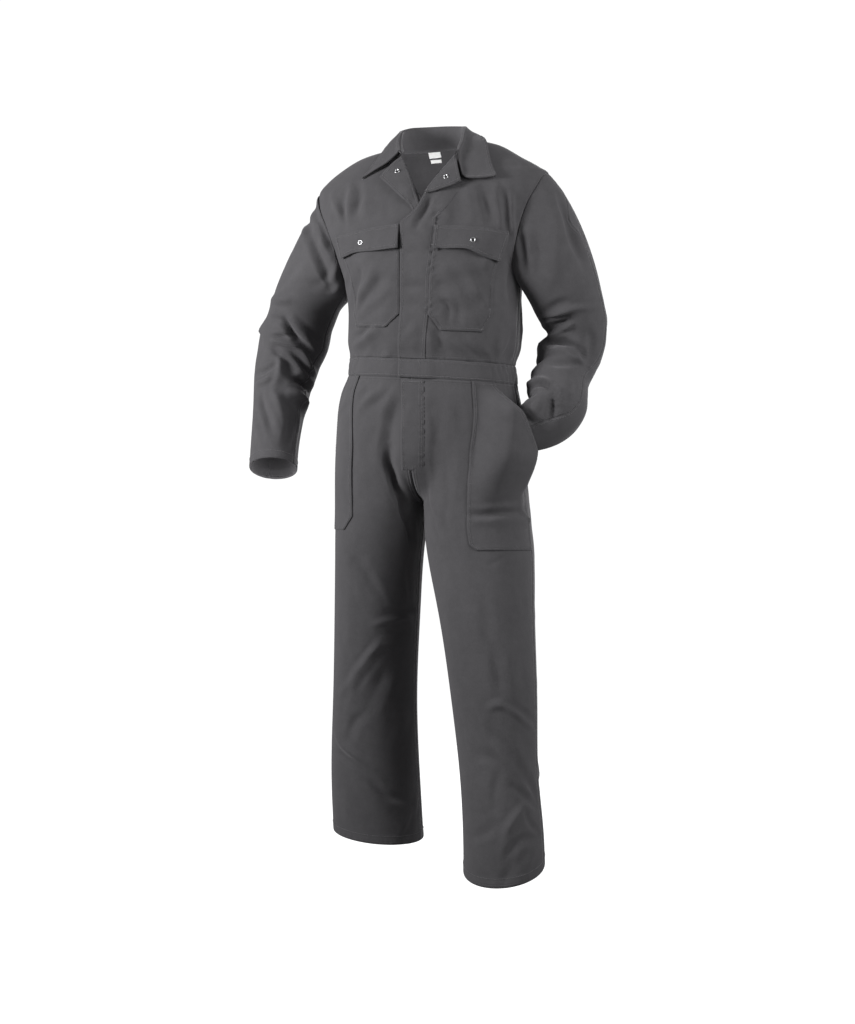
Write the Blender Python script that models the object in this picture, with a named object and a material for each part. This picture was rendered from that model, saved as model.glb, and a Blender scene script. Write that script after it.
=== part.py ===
"""Boiler suit (coverall) kept in the hollow, standing form of a wearer.

Metres, +Z up. +X is the wearer's left, -Y the front.  The origin is the
centre of the neck opening at shoulder level.  Every cloth piece is a thin
closed wall on a shared form: rings read from short tables of named columns.
"""
import bpy
import numpy as np
from math import pi

# ------------------------------------------------------------ driving sizes
CLOTH = 0.0020          # wall of the main cloth
PATCH = 0.0015          # wall of pockets, flaps, placket and fly
GAP = 0.00034           # clear space left at every seam
LAY = 0.0004            # clear space under anything lying on a panel
WAIST_TOP, WAIST_LOW = 0.038, 0.0      # run of the waistband on the trunk
ARM_TOP, ARM_LOW, ARM_HALF = 0.395, 0.188, 29.0   # armhole: run, run, degrees
NECK_RUN = 0.580
CROTCH = -0.705         # height of the crotch point
RISE_FRONT = -0.590     # heights where the front and the back of the rise turn under
RISE_BACK = -0.500
HEM = {+1: (-1.408, 0.028, 0.000),    # hem height, lower in front by, lower inside by
       -1: (-1.384, 0.012, 0.010)}
CAP_END = 0.235         # length of the sleeve cap
EDGE_TURN = -6.5        # front edge of the left front, degrees past the middle
UNDER_TURN = -5.0       # front edge of the right front, under the left
LIFT = 0.0042           # the left front rides over the right by this much


# ------------------------------------------------------------------- tables
class Table:
    """Rows of named columns read at any key: a monotone cubic, or an even spline."""

    def __init__(self, names, rows, even=False):
        a = np.array(rows, float)
        a = a[np.argsort(a[:, 0])]
        self.k = a[:, 0]
        self.c = {}
        for i, n in enumerate(names[1:], 1):
            y = a[:, i]
            h = np.diff(self.k)
            d = np.diff(y) / h
            m = np.zeros(len(y))
            m[0], m[-1] = d[0], d[-1]
            for j in range(1, len(y) - 1):
                if d[j-1] * d[j] > 0:
                    w1, w2 = 2*h[j] + h[j-1], h[j] + 2*h[j-1]
                    m[j] = (w1 + w2) / (w1 / d[j-1] + w2 / d[j])
            if even:
                q = len(y)
                A = np.zeros((q, q))
                r = np.zeros(q)
                A[0, 0], A[0, 1], r[0] = 2, 1, 3*d[0]
                A[-1, -1], A[-1, -2], r[-1] = 2, 1, 3*d[-1]
                for j in range(1, q - 1):
                    A[j, j-1], A[j, j], A[j, j+1] = h[j], 2*(h[j-1] + h[j]), h[j-1]
                    r[j] = 3*(h[j]*d[j-1] + h[j-1]*d[j])
                m = np.linalg.solve(A, r)
            self.c[n] = (y, m)

    def __call__(self, name, t):
        t = np.clip(np.asarray(t, float), self.k[0], self.k[-1])
        y, m = self.c[name]
        i = np.clip(np.searchsorted(self.k, t, side='right') - 1, 0, len(self.k) - 2)
        h = self.k[i+1] - self.k[i]
        s = (t - self.k[i]) / h
        return ((2*s**3 - 3*s**2 + 1) * y[i] + (s**3 - 2*s**2 + s) * h * m[i]
                + (-2*s**3 + 3*s**2) * y[i+1] + (s**3 - s**2) * h * m[i+1])


def smooth(t):
    t = np.clip(t, 0, 1)
    return t*t*(3 - 2*t)


def unit(v):
    return v / np.maximum(np.linalg.norm(v, axis=-1, keepdims=True), 1e-12)


# -------------------------------------------------------------------- trunk
TRUNK = Table(
 ("run",  "z",   "cx",  "width", "front", "back", "power", "tilt", "yaw"), [
 (0.000, -0.463, 0.004, 0.172, 0.122, 0.112, 2.3, -0.065, -3.0),
 (0.038, -0.425, 0.004, 0.168, 0.120, 0.108, 2.3, -0.062, -3.0),
 (0.075, -0.388, 0.006, 0.174, 0.128, 0.116, 2.3, -0.045, -2.5),
 (0.130, -0.333, 0.008, 0.174, 0.130, 0.120, 2.3, -0.020, -1.0),
 (0.190, -0.273, 0.007, 0.178, 0.131, 0.123, 2.3,  0.020,  0.0),
 (0.260, -0.203, 0.008, 0.206, 0.128, 0.124, 2.3,  0.060,  1.0),
 (0.320, -0.143, 0.006, 0.228, 0.120, 0.122, 2.25, 0.085,  2.0),
 (0.365, -0.098, 0.005, 0.239, 0.108, 0.117, 2.2,  0.076,  2.0),
 (0.395, -0.071, 0.004, 0.236, 0.096, 0.108, 2.1,  0.056,  2.0),
 (0.425, -0.052, 0.003, 0.217, 0.085, 0.098, 2.05, 0.040,  2.0),
 (0.460, -0.032, 0.002, 0.187, 0.075, 0.088, 2.0,  0.034,  2.0),
 (0.510, -0.0065, 0.000, 0.140, 0.063, 0.077, 2.0, 0.062,  2.0),
 (0.550,  0.0035, 0.000, 0.100, 0.053, 0.068, 2.0, 0.088,  2.0),
 (0.580,  0.010, 0.000, 0.074, 0.046, 0.062, 2.0,  0.098,  2.0)])


def superring(th, width, front, back, n):
    t = np.radians(th)
    s, c = np.sin(t), np.cos(t)
    x = width * np.sign(s) * np.abs(s)**(2/n)
    y = -np.where(c > 0, front, back) * np.sign(c) * np.abs(c)**(2/n)
    return x, y


def yawed(x, y, yaw):
    a = np.radians(yaw)
    return x*np.cos(a) - y*np.sin(a), x*np.sin(a) + y*np.cos(a)


def trunk(th, run):
    """th degrees: 0 front middle, 90 the wearer's left side, 180 back middle."""
    th, run = np.broadcast_arrays(np.asarray(th, float), np.asarray(run, float))
    x, y = superring(th, TRUNK("width", run), TRUNK("front", run), TRUNK("back", run),
                     TRUNK("power", run))
    z = TRUNK("z", run) + TRUNK("tilt", run) * x
    x, y = yawed(x, y, TRUNK("yaw", run))
    return np.stack([x + TRUNK("cx", run), y, z], -1)


def armhole(side, phi):
    """phi 0 at the shoulder tip, 90 in front, 180 under the arm, 270 behind."""
    p = np.radians(phi)
    run = (ARM_TOP + ARM_LOW)/2 + (ARM_TOP - ARM_LOW)/2 * np.cos(p)
    return side*(90 - ARM_HALF*np.sin(p)), run


# ------------------------------------------------------------------ sleeves
SLEEVE_NAMES = ("along", "x", "y", "z", "across", "deep", "turn")
SLEEVE = {
 +1: Table(SLEEVE_NAMES, [
 (0.10, 0.243,  0.005, -0.155, 0.066, 0.084, 0),
 (0.16, 0.256,  0.018, -0.222, 0.070, 0.080, 0),
 (0.23, 0.267,  0.038, -0.292, 0.071, 0.074, 0),
 (0.29, 0.281,  0.055, -0.345, 0.064, 0.066, 0),
 (0.33, 0.281,  0.060, -0.385, 0.061, 0.063, 0),
 (0.38, 0.268,  0.046, -0.430, 0.059, 0.061, 0),
 (0.43, 0.260,  0.018, -0.475, 0.057, 0.060, 6),
 (0.48, 0.261, -0.014, -0.526, 0.054, 0.058, 16),
 (0.53, 0.228, -0.048, -0.557, 0.030, 0.050, 28),
 (0.57, 0.198, -0.072, -0.579, 0.014, 0.041, 35),
 (0.61, 0.178, -0.088, -0.608, 0.012, 0.041, 42)], True),
 -1: Table(SLEEVE_NAMES, [
 (0.10, -0.236,  0.005, -0.185, 0.064, 0.084, 0),
 (0.16, -0.252,  0.018, -0.240, 0.068, 0.080, 0),
 (0.23, -0.277,  0.035, -0.290, 0.069, 0.074, 0),
 (0.29, -0.300,  0.045, -0.340, 0.069, 0.070, 0),
 (0.34, -0.317,  0.050, -0.385, 0.069, 0.067, 0),
 (0.39, -0.325,  0.036, -0.432, 0.065, 0.063, 0),
 (0.45, -0.328,  0.014, -0.492, 0.056, 0.060, 0),
 (0.51, -0.326, -0.012, -0.548, 0.050, 0.056, 0),
 (0.56, -0.323, -0.034, -0.600, 0.048, 0.053, 0),
 (0.60, -0.319, -0.050, -0.637, 0.048, 0.051, 0)], True),
}


LEAVES = {   # which way the cap leaves the armhole: outwards, more at the top, down, more at the top
 +1: (0.53, 0.17, -0.75, 0.05),
 -1: (0.39, 0.04, -0.825, -0.02)}


def sleeve_ring(side, phi, s):
    T = SLEEVE[side]
    c = np.stack([T(n, s) for n in "xyz"], -1)
    t = unit(np.stack([T(n, s + 0.012) - T(n, s - 0.012) for n in "xyz"], -1))
    out = np.zeros_like(t)
    out[..., 0] = side
    out = unit(out - np.sum(out*t, -1, keepdims=True) * t)
    fro = np.cross(t, out)
    fro = np.where(fro[..., 1:2] > 0, -fro, fro)
    tw = np.radians(T("turn", s))[..., None]
    o2 = out*np.cos(tw) + fro*np.sin(tw)
    f2 = fro*np.cos(tw) - out*np.sin(tw)
    p = np.radians(phi)[..., None]
    return (c + o2*np.cos(p)*T("across", s)[..., None]
            + f2*np.sin(p)*T("deep", s)[..., None])


def sleeve(side, phi, s):
    """phi 0 outer line, 90 front, 180 inner, 270 back; s metres from the shoulder."""
    phi, s = np.broadcast_arrays(np.asarray(phi, float), np.asarray(s, float))
    ring = sleeve_ring(side, phi, np.maximum(s, CAP_END))
    th, run = armhole(side, phi)
    a = trunk(th, run)
    b = sleeve_ring(side, phi, np.full(s.shape, CAP_END))
    b2 = sleeve_ring(side, phi, np.full(s.shape, CAP_END + 0.01))
    tb = unit(b2 - b)
    L = np.linalg.norm(b - a, axis=-1, keepdims=True)
    p = np.radians(phi)
    a0, a1, z0, z1 = LEAVES[side]
    ta = unit(np.stack([side*(a0 + a1*np.cos(p)), -0.18*np.sin(p), z0 + z1*np.cos(p)], -1))
    q = (np.clip(s, 0, CAP_END) / CAP_END)[..., None]
    cap = ((2*q**3 - 3*q**2 + 1)*a + (q**3 - 2*q**2 + q)*L*ta*0.9
           + (-2*q**3 + 3*q**2)*b + (q**3 - q**2)*L*tb*0.9)
    return np.where(s[..., None] < CAP_END, cap, ring)


# ------------------------------------------------------------ hips and legs
HIPS = Table(("z", "cx", "width", "front", "back", "power", "tilt", "yaw"), [
 (-0.463,  0.004, 0.172, 0.122, 0.112, 2.3, -0.065, -3.0),
 (-0.500,  0.001, 0.181, 0.125, 0.120, 2.3, -0.055, -3.0),
 (-0.550,  0.002, 0.185, 0.124, 0.130, 2.3, -0.040, -3.0),
 (-0.600,  0.003, 0.187, 0.120, 0.133, 2.3, -0.025, -3.0),
 (-0.660,  0.003, 0.188, 0.114, 0.128, 2.3, -0.010, -3.0),
 (-0.740,  0.004, 0.190, 0.110, 0.120, 2.3,  0.000, -3.0),
 (-0.800,  0.004, 0.192, 0.112, 0.116, 2.3,  0.000, -3.0)])
LEG_NAMES = ("z", "cx", "cy", "width", "deep", "power")
LEG = {
 +1: Table(LEG_NAMES, [
 (-0.600, 0.092,  0.000, 0.100, 0.125, 2.2),
 (-0.700, 0.094,  0.002, 0.103, 0.118, 2.2),
 (-0.800, 0.107, -0.014, 0.105, 0.108, 2.1),
 (-0.910, 0.126, -0.038, 0.095, 0.100, 2.1),
 (-1.100, 0.153, -0.070, 0.083, 0.088, 2.0),
 (-1.240, 0.169, -0.092, 0.076, 0.080, 2.0),
 (-1.350, 0.184, -0.115, 0.078, 0.078, 2.0),
 (-1.460, 0.189, -0.130, 0.078, 0.076, 2.0)], True),
 -1: Table(LEG_NAMES, [
 (-0.600, -0.104, 0.004, 0.091, 0.125, 2.2),
 (-0.700, -0.105, 0.008, 0.091, 0.118, 2.2),
 (-0.800, -0.115, 0.020, 0.087, 0.108, 2.1),
 (-0.910, -0.125, 0.036, 0.085, 0.100, 2.1),
 (-1.110, -0.140, 0.062, 0.086, 0.088, 2.0),
 (-1.260, -0.146, 0.082, 0.092, 0.082, 2.0),
 (-1.420, -0.143, 0.098, 0.094, 0.078, 2.0)], True),
}
MID_X = Table(("z", "x"), [(-0.463, 0.0), (-0.600, -0.006), (-0.720, -0.012)])


def leg(side, psi, z):
    """psi 0 inner line, 0.25 front, 0.5 outer side, 0.75 behind, 1 inner again."""
    psi, z = np.broadcast_arrays(np.asarray(psi, float), np.asarray(z, float))
    T = LEG[side]
    a = 2*pi*psi
    n = T("power", z)
    c, s = np.cos(a), np.sin(a)
    lx = T("cx", z) - side*np.sign(c)*np.abs(c)**(2/n)*T("width", z)
    ly = T("cy", z) - np.sign(s)*np.abs(s)**(2/n)*T("deep", z)
    hx, hy = superring(side*180*psi, HIPS("width", z), HIPS("front", z), HIPS("back", z),
                       HIPS("power", z))
    tilt = HIPS("tilt", z)*hx
    hx, hy = yawed(hx, hy, HIPS("yaw", z))
    hx = hx + HIPS("cx", z)
    yaw = np.radians(HIPS("yaw", z))
    own = -np.where(psi < 0.5, -HIPS("front", z), HIPS("back", z))*np.sin(yaw) + HIPS("cx", z)
    mid = own + (MID_X("x", z) - own)*smooth((-z - 0.463)/0.12)
    d = np.minimum(psi, 1 - psi)
    hx = hx + (mid - own)*np.exp(-(d/0.06)**2)
    turns = np.where(psi < 0.5, RISE_FRONT, RISE_BACK)
    t = np.clip((turns - z)/(turns - CROTCH), 0, 1)
    deepening = 1 - np.sqrt(np.clip(1 - t*t, 0, 1))       # the U of the rise
    even = smooth((-z - 0.500)/0.30)
    m = smooth(d/0.14)
    w = (1 - m)*deepening + m*even
    px = (1-w)*hx + w*lx
    py = (1-w)*hy + w*ly
    pz = z + tilt*(1-w)
    px = np.where((z >= CROTCH) & (side*(px - mid) < 0), mid, px)
    return np.stack([px, py, pz], -1)


# -------------------------------------------------------------------- folds
# A row per fold: the panel family it lies on, its two ends as (turn, run),
# how far it bows (metres, towards +run), half-width and height (minus = trough).
# Trunk and sleeve turns are degrees, leg turns 0-1 and leg runs heights.
FOLD_NAMES = ("on", "turn0", "run0", "turn1", "run1", "bow", "half", "height")
FOLDS = [
 # right sleeve, round the elbow
 ("sleeve-1",  25, 0.270,  95, 0.335,  0.010, 0.013,  0.010),
 ("sleeve-1",  30, 0.300, 100, 0.365,  0.008, 0.011, -0.009),
 ("sleeve-1",  15, 0.335,  80, 0.350, -0.006, 0.013,  0.011),
 ("sleeve-1",  40, 0.355, 120, 0.405,  0.006, 0.012, -0.008),
 ("sleeve-1",  20, 0.400,  70, 0.385,  0.004, 0.013,  0.007),
 ("sleeve-1", 270, 0.300, 350, 0.345,  0.008, 0.014,  0.007),
 # left sleeve, round the elbow
 ("sleeve+1", 100, 0.285,  60, 0.300,  0.004, 0.011,  0.007),
 ("sleeve+1", 130, 0.315,  50, 0.330, -0.008, 0.012, -0.010),
 ("sleeve+1", 130, 0.345,  50, 0.352,  0.010, 0.013,  0.010),
 ("sleeve+1", 120, 0.415,  60, 0.430,  0.012, 0.013,  0.009),
 # trousers: the deep fold beside the crotch, the drags on the lower legs
 ("leg-1", 0.085, -0.560, 0.060, -0.780, -0.004, 0.014, -0.016),
 ("leg-1", 0.150, -1.220, 0.330, -1.170, -0.012, 0.020, -0.007),
 ("leg+1", 0.430, -1.120, 0.300, -1.230,  0.010, 0.020, -0.007),
 ("leg+1", 0.470, -1.220, 0.330, -1.330,  0.010, 0.020, -0.007),
 # bodice: soft drags from the shoulders
 ("trunk", 28, 0.370, 32, 0.300, 0.000, 0.014, -0.005),
 ("trunk", 42, 0.375, 44, 0.300, 0.000, 0.013, -0.006),
 ("trunk", -38, 0.380, -36, 0.310, 0.000, 0.013, -0.005),
]
_fold_lines = {}


def fold_line(on, surface, row):
    """The fold's middle line as points of the surface, nine of them."""
    key = (on, row)
    if key not in _fold_lines:
        t = np.linspace(0, 1, 9)
        a = row[1] + (row[3] - row[1])*t
        b = row[2] + (row[4] - row[2])*t + row[5]*np.sin(pi*t)
        _fold_lines[key] = surface(a, b)
    return _fold_lines[key]


def folded(on, surface, P, N):
    """Points pushed along their normals by every fold of this family."""
    out = P.copy()
    for row in FOLDS:
        if row[0] != on:
            continue
        L = fold_line(on, surface, row)
        best = np.full(P.shape[:-1], 9.0)
        where = np.zeros(P.shape[:-1])
        for i in range(len(L) - 1):
            d = L[i+1] - L[i]
            q = np.clip(((P - L[i]) @ d) / (d @ d), 0, 1)
            r = np.linalg.norm(P - (L[i] + q[..., None]*d), axis=-1)
            where = np.where(r < best, (i + q)/(len(L) - 1), where)
            best = np.minimum(best, r)
        w = np.exp(-(best/row[6])**2) * np.sin(pi*np.clip(0.04 + 0.92*where, 0, 1))**0.6
        out += N * (row[7]*w)[..., None]
    return out


# ==== solids
def normals(surface, a, b, ea, eb, flip):
    n = np.cross(surface(a + ea, b) - surface(a - ea, b), surface(a, b + eb) - surface(a, b - eb))
    return unit(n) * flip


def armhole_normal(side, phi):
    th, run = armhole(side, phi)
    n1 = normals(trunk, th, run, 0.4, 0.002, 1.0)
    s = np.full(np.shape(phi), 0.004)
    n2 = normals(lambda a, b: sleeve(side, a, b), np.asarray(phi, float), s, 0.5, 0.003, side)
    return unit(n1 + n2)


def inset(P, sides, g=GAP/2):
    """Draws the named edges of a grid in by half the seam gap: L R B T."""
    Q = P.copy()
    if "L" in sides:
        Q[:, 0] += unit(P[:, 1] - P[:, 0])*g
    if "R" in sides:
        Q[:, -1] += unit(P[:, -2] - P[:, -1])*g
    if "B" in sides:
        Q[0] += unit(P[1] - P[0])*g
    if "T" in sides:
        Q[-1] += unit(P[-2] - P[-1])*g
    return Q


MADE = []


def paint(name, rgb, rough, metallic=0.0):
    m = bpy.data.materials.new(name)
    m.use_nodes = True
    b = m.node_tree.nodes["Principled BSDF"]
    b.inputs["Base Color"].default_value = (*rgb, 1)
    b.inputs["Roughness"].default_value = rough
    b.inputs["Metallic"].default_value = metallic
    m.diffuse_color = (*rgb, 1)
    return m


def slab(name, top, bottom, tris, mat):
    """Closed solid between two copies of one triangle patch."""
    used = sorted({i for t in tris for i in t})
    new = {v: i for i, v in enumerate(used)}
    n = len(used)
    verts = [tuple(map(float, top[v])) for v in used] + [tuple(map(float, bottom[v])) for v in used]
    faces, edges = [], {}
    for t in tris:
        a, b, c = (new[i] for i in t)
        faces.append((a, b, c))
        faces.append((a + n, c + n, b + n))
        for e in ((a, b), (b, c), (c, a)):
            edges[e] = edges.get(e, 0) + 1
    for (a, b) in edges:
        if (b, a) not in edges:
            faces.append((a, a + n, b + n))
            faces.append((a, b + n, b))
    V = np.array(verts)
    F = np.array(faces)
    vol = np.sum(np.einsum('ij,ij->i', V[F[:, 0]], np.cross(V[F[:, 1]], V[F[:, 2]])))
    if vol < 0:
        faces = [f[::-1] for f in faces]
    me = bpy.data.meshes.new(name)
    me.from_pydata(verts, [], faces)
    me.update()
    me.validate()
    ob = bpy.data.objects.new(name, me)
    me.materials.append(mat)
    bpy.context.scene.collection.objects.link(ob)
    MADE.append(ob)
    return ob


def grid_tris(rows, cols, keep=None, turn=0):
    """Two triangles a cell.  keep: 0 drop the cell, 1 whole, 2/3/4/5 only the
    triangle without its lower-left / lower-right / upper-right / upper-left."""
    T = []
    for i in range(rows - 1):
        for j in range(cols - 1):
            k = 1 if keep is None else int(keep[i][j])
            a, b, c, d = i*cols + j, i*cols + j + 1, (i+1)*cols + j + 1, (i+1)*cols + j
            if k == 1:
                if turn:
                    T += [(a, b, d), (b, c, d)]
                else:
                    T += [(a, b, c), (a, c, d)]
            elif k == 2:
                T += [(b, c, d)]
            elif k == 3:
                T += [(a, c, d)]
            elif k == 4:
                T += [(a, b, d)]
            elif k == 5:
                T += [(a, b, c)]
    return T


def wall(name, P, N, lo, hi, mat, keep=None, turn=0):
    r, c = P.shape[:2]
    lo = np.broadcast_to(lo, (r, c))[..., None]
    hi = np.broadcast_to(hi, (r, c))[..., None]
    return slab(name, (P + N*hi).reshape(-1, 3), (P + N*lo).reshape(-1, 3),
                grid_tris(r, c, keep, turn), mat)


# ------------------------------------------------------------ start afresh
for o in list(bpy.data.objects):
    bpy.data.objects.remove(o, do_unlink=True)

TWILL = paint("twill_grey", (0.085, 0.083, 0.088), 0.86)
STEEL = paint("snap_steel", (0.62, 0.62, 0.64), 0.28, 1.0)
LABEL = paint("label_white", (0.82, 0.82, 0.81), 0.70)

# ------------------------------------------------------------ bodice fronts
PHI_LOW = (180, 160, 140, 120, 100, 80)       # armhole samples, below the chest line
PHI_UP = (60, 40, 20, 0)                      # and above it
SEAM_RUNS = (0.395, 0.412, 0.440, 0.478, 0.525, 0.580)   # shoulder seam knots
ROW_NAMES = ("middle", "pocket", "side")
BODICE = {   # run of each row at the middle, at the pocket's outer edge, at the side
 +1: [(0.038, 0.038, 0.038), (0.065, 0.065, 0.065), (0.092, 0.092, 0.092),
      (0.122, 0.122, 0.122), (0.150, 0.150, 0.155), (0.175, 0.172, 0.188),
      (0.198, 0.188, None), (0.222, 0.203, None), (0.247, 0.219, None),
      (0.290, 0.270, None), (0.306, 0.298, None)],
 -1: [(0.038, 0.038, 0.038), (0.070, 0.070, 0.068), (0.097, 0.100, 0.097),
      (0.124, 0.127, 0.127), (0.150, 0.152, 0.155), (0.178, 0.178, 0.188),
      (0.203, 0.202, None), (0.228, 0.226, None), (0.252, 0.250, None),
      (0.302, 0.300, None), (0.312, 0.318, None)],
}
TURNS = {+1: [EDGE_TURN, 0, 8, 16, 28, 40, 47, 54], -1: [UNDER_TURN, 0, 7, 16, 28, 39, 45, 51]}
NECKLINE = {   # the front neckline: how far along, turn, run
 +1: Table(("t", "turn", "run"), [(0, -6.5, 0.306), (0.15, -1, 0.326), (0.32, 3, 0.361),
      (0.52, 12, 0.420), (0.68, 21, 0.468), (0.86, 48, 0.540), (1, 90, 0.580)]),
 -1: Table(("t", "turn", "run"), [(0, -5, 0.312), (0.15, -3, 0.335), (0.35, 2, 0.380),
      (0.54, 8, 0.430), (0.70, 16, 0.490), (0.86, 46, 0.548), (1, 90, 0.580)]),
}


def front_lift(side, turn):
    return LIFT*(1 - smooth((turn - 9)/8)) if side > 0 else 0*turn


def shoulder_seam(side, count):
    """Points on the straight stretches of the seam, neck to tip, as 3-D points."""
    knots = trunk(np.full(6, side*90.0), np.array(SEAM_RUNS[::-1]))
    t = np.linspace(0, 5, count)
    i = np.minimum(t.astype(int), 4)
    f = (t - i)[:, None]
    return knots[i]*(1-f) + knots[i+1]*f


def bodice_front(side):
    inner = np.array(TURNS[side], float)
    rows, phis = [], []
    for r, (m, p, s) in enumerate(BODICE[side]):
        if s is None:
            phi = PHI_LOW[r - 5]
            out, s = armhole(1, phi)
            phis.append(phi)
        else:
            out = 90.0
            phis.append(180 if r == 5 else None)
        t = np.concatenate([inner, inner[-1] + (out - inner[-1])*np.array([0.34, 0.68, 1.0])])
        k = np.where(t <= inner[-1], m + (p - m)*np.clip(t/inner[-1], 0, 1)**1.4,
                     p + (s - p)*smooth((t - inner[-1])/(out - inner[-1])))
        rows.append((t, k))
    t0, k0 = rows[-1]
    u = (t0 - t0[0])/(t0[-1] - t0[0])
    top_k = np.interp(u, np.linspace(0, 1, 6), SEAM_RUNS[::-1])
    top_t = np.full(len(u), 90.0)
    for n, phi in enumerate(PHI_UP):
        q = (n + 1)/len(PHI_UP)
        lt, lk = float(NECKLINE[side]("turn", q)), float(NECKLINE[side]("run", q))
        rt, rk = armhole(1, phi)
        t = ((1-q)*t0 + q*top_t + (1-u)*lt + u*rt
             - ((1-u)*(1-q)*t0[0] + u*(1-q)*t0[-1] + (1-u)*q*90 + u*q*90))
        k = ((1-q)*k0 + q*top_k + (1-u)*lk + u*rk
             - ((1-u)*(1-q)*k0[0] + u*(1-q)*k0[-1] + (1-u)*q*top_k[0] + u*q*top_k[-1]))
        rows.append((t, k))
        phis.append(phi)
    A = np.array([r[0] for r in rows])
    K = np.array([r[1] for r in rows])
    P = trunk(side*A, K)
    N = normals(trunk, side*A, K, 0.4, 0.002, 1.0)
    P[-1] = shoulder_seam(side, 11)
    for i, phi in enumerate(phis):
        if phi is not None:
            N[i, -1] = armhole_normal(side, np.array(float(phi)))
    N[0, :, 2] = 0
    N[0] = unit(N[0])
    P = folded("trunk", trunk, P, N)
    P += N*front_lift(side, A)[..., None]
    return P, N, A, K


FRONT = {}
for side, name in ((+1, "left"), (-1, "right")):
    P, N, A, K = bodice_front(side)
    P = inset(P, "RBT")
    FRONT[side] = (P, N)
    wall("front_" + name, P, N, -CLOTH, 0.0, TWILL)

# --------------------------------------------------------------------- back
def bodice_back():
    frac = np.array([0, 0.12, 0.25, 0.38, 0.50, 0.62, 0.75, 0.88, 1.0])
    shoulder = 5                         # the first five cells of the top are shoulder seam
    halves = []
    for side in (+1, -1):
        rows = []
        runs = [(0.038, None), (BODICE[side][1][2], None), (BODICE[side][2][2], None),
                (BODICE[side][3][2], None), (0.155, None), (0.188, 180)]
        for k, phi in runs:
            rows.append((90 + 90*frac, np.full(9, k), phi))
        for phi in PHI_LOW[1:]:
            out, k = armhole(1, 360 - phi)
            rows.append((out + (180 - out)*frac, np.full(9, k), phi))
        t0, k0, _ = rows[-1]
        u = frac
        top_t = np.concatenate([np.full(6, 90.0), 90 + 90*np.array([0.36, 0.70, 1.0])])
        top_k = np.concatenate([SEAM_RUNS, np.full(3, NECK_RUN)])
        for n, phi in enumerate(PHI_UP):
            q = (n + 1)/len(PHI_UP)
            lt, lk = armhole(1, 360 - phi)
            rt, rk = 180.0, k0[-1] + (NECK_RUN - k0[-1])*q
            t = ((1-q)*t0 + q*top_t + (1-u)*lt + u*rt
                 - ((1-u)*(1-q)*t0[0] + u*(1-q)*t0[-1] + (1-u)*q*top_t[0] + u*q*top_t[-1]))
            k = ((1-q)*k0 + q*top_k + (1-u)*lk + u*rk
                 - ((1-u)*(1-q)*k0[0] + u*(1-q)*k0[-1] + (1-u)*q*top_k[0] + u*q*top_k[-1]))
            rows.append((t, k, phi))
        A = np.array([r[0] for r in rows])
        K = np.array([r[1] for r in rows])
        P = trunk(side*A, K)
        N = normals(trunk, side*A, K, 0.4, 0.002, 1.0)
        P[-1, :6] = shoulder_seam(side, 6)[::-1]
        for i, r in enumerate(rows):
            if r[2] is not None:
                N[i, 0] = armhole_normal(side, np.array(360.0 - r[2]))
        halves.append((P, N))
    (Pl, Nl), (Pr, Nr) = halves
    P = np.concatenate([Pr, Pl[:, -2::-1]], 1)
    N = np.concatenate([Nr, Nl[:, -2::-1]], 1)
    N[0, :, 2] = 0
    N[0] = unit(N[0])
    return P, N


P, N = bodice_back()
wall("back", inset(P, "LRBT"), N, -CLOTH, 0.0, TWILL)

# ------------------------------------------- placket, chest pockets, flaps
def patch(name, P, N, rows, cols, lo, thick, mat, keep=None, edge="LRBT"):
    """Something lying on a panel: a block of the panel's own points moved out."""
    p = P[rows[0]:rows[1]+1, cols[0]:cols[1]+1]
    n = N[rows[0]:rows[1]+1, cols[0]:cols[1]+1]
    return wall(name, inset(p, edge), n, lo, lo + thick, mat, keep)


P, N = FRONT[+1]
patch("placket", P, N, (0, 10), (0, 2), LAY, PATCH, TWILL)
for side, name in ((+1, "left"), (-1, "right")):
    P, N = FRONT[side]
    keep = np.ones((7, 5), int)
    keep[0, 0] = 2                       # corners cut off at the foot
    keep[0, 4] = 3
    patch("chest_pocket_" + name, P, N, (2, 9), (2, 7), LAY, PATCH, TWILL, keep)
    p = P[8:10, 2:8]
    n = N[8:10, 2:8]
    mid = (p[0] + p[1])/2
    p = np.stack([p[0], mid, p[1]])
    n = np.stack([n[0], unit(n[0] + n[1]), n[1]])
    lo = LAY*2 + PATCH + np.array([[0.0030, 0.0014, 0.0004]]).T*np.linspace(1.25, 0.6, 6)
    FRONT[side, "flap"] = (p, n, lo + PATCH)
    wall("chest_flap_" + name, inset(p, "LRBT"), n, lo, lo + PATCH, TWILL)

# --------------------------------------------------------------- waistbands
WAIST_TURNS = [40, 51, 61, 69.3, 77.4, 90]      # the trousers' columns at the side


def waist_row(side, run):
    inner = TURNS[side]
    if run == WAIST_TOP:
        last = inner[-1]
        t = inner + [last + (90 - last)*f for f in (0.34, 0.68, 1.0)]
    else:
        t = list(inner[:5]) + WAIST_TURNS
    t = np.array(t, float)
    k = np.full(len(t), run)
    P = trunk(side*t, k)
    N = normals(trunk, side*t, k, 0.4, 0.002, 1.0)
    N[..., 2] = 0
    return P + unit(N)*front_lift(side, t)[..., None], unit(N)


for side, name in ((+1, "left"), (-1, "right")):
    a, b = waist_row(side, WAIST_LOW), waist_row(side, WAIST_TOP)
    P = inset(np.stack([a[0], b[0]]), "LRBT")
    wall("waistband_front_" + name, P, np.stack([a[1], b[1]]), -CLOTH, 0.0, TWILL)

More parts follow.
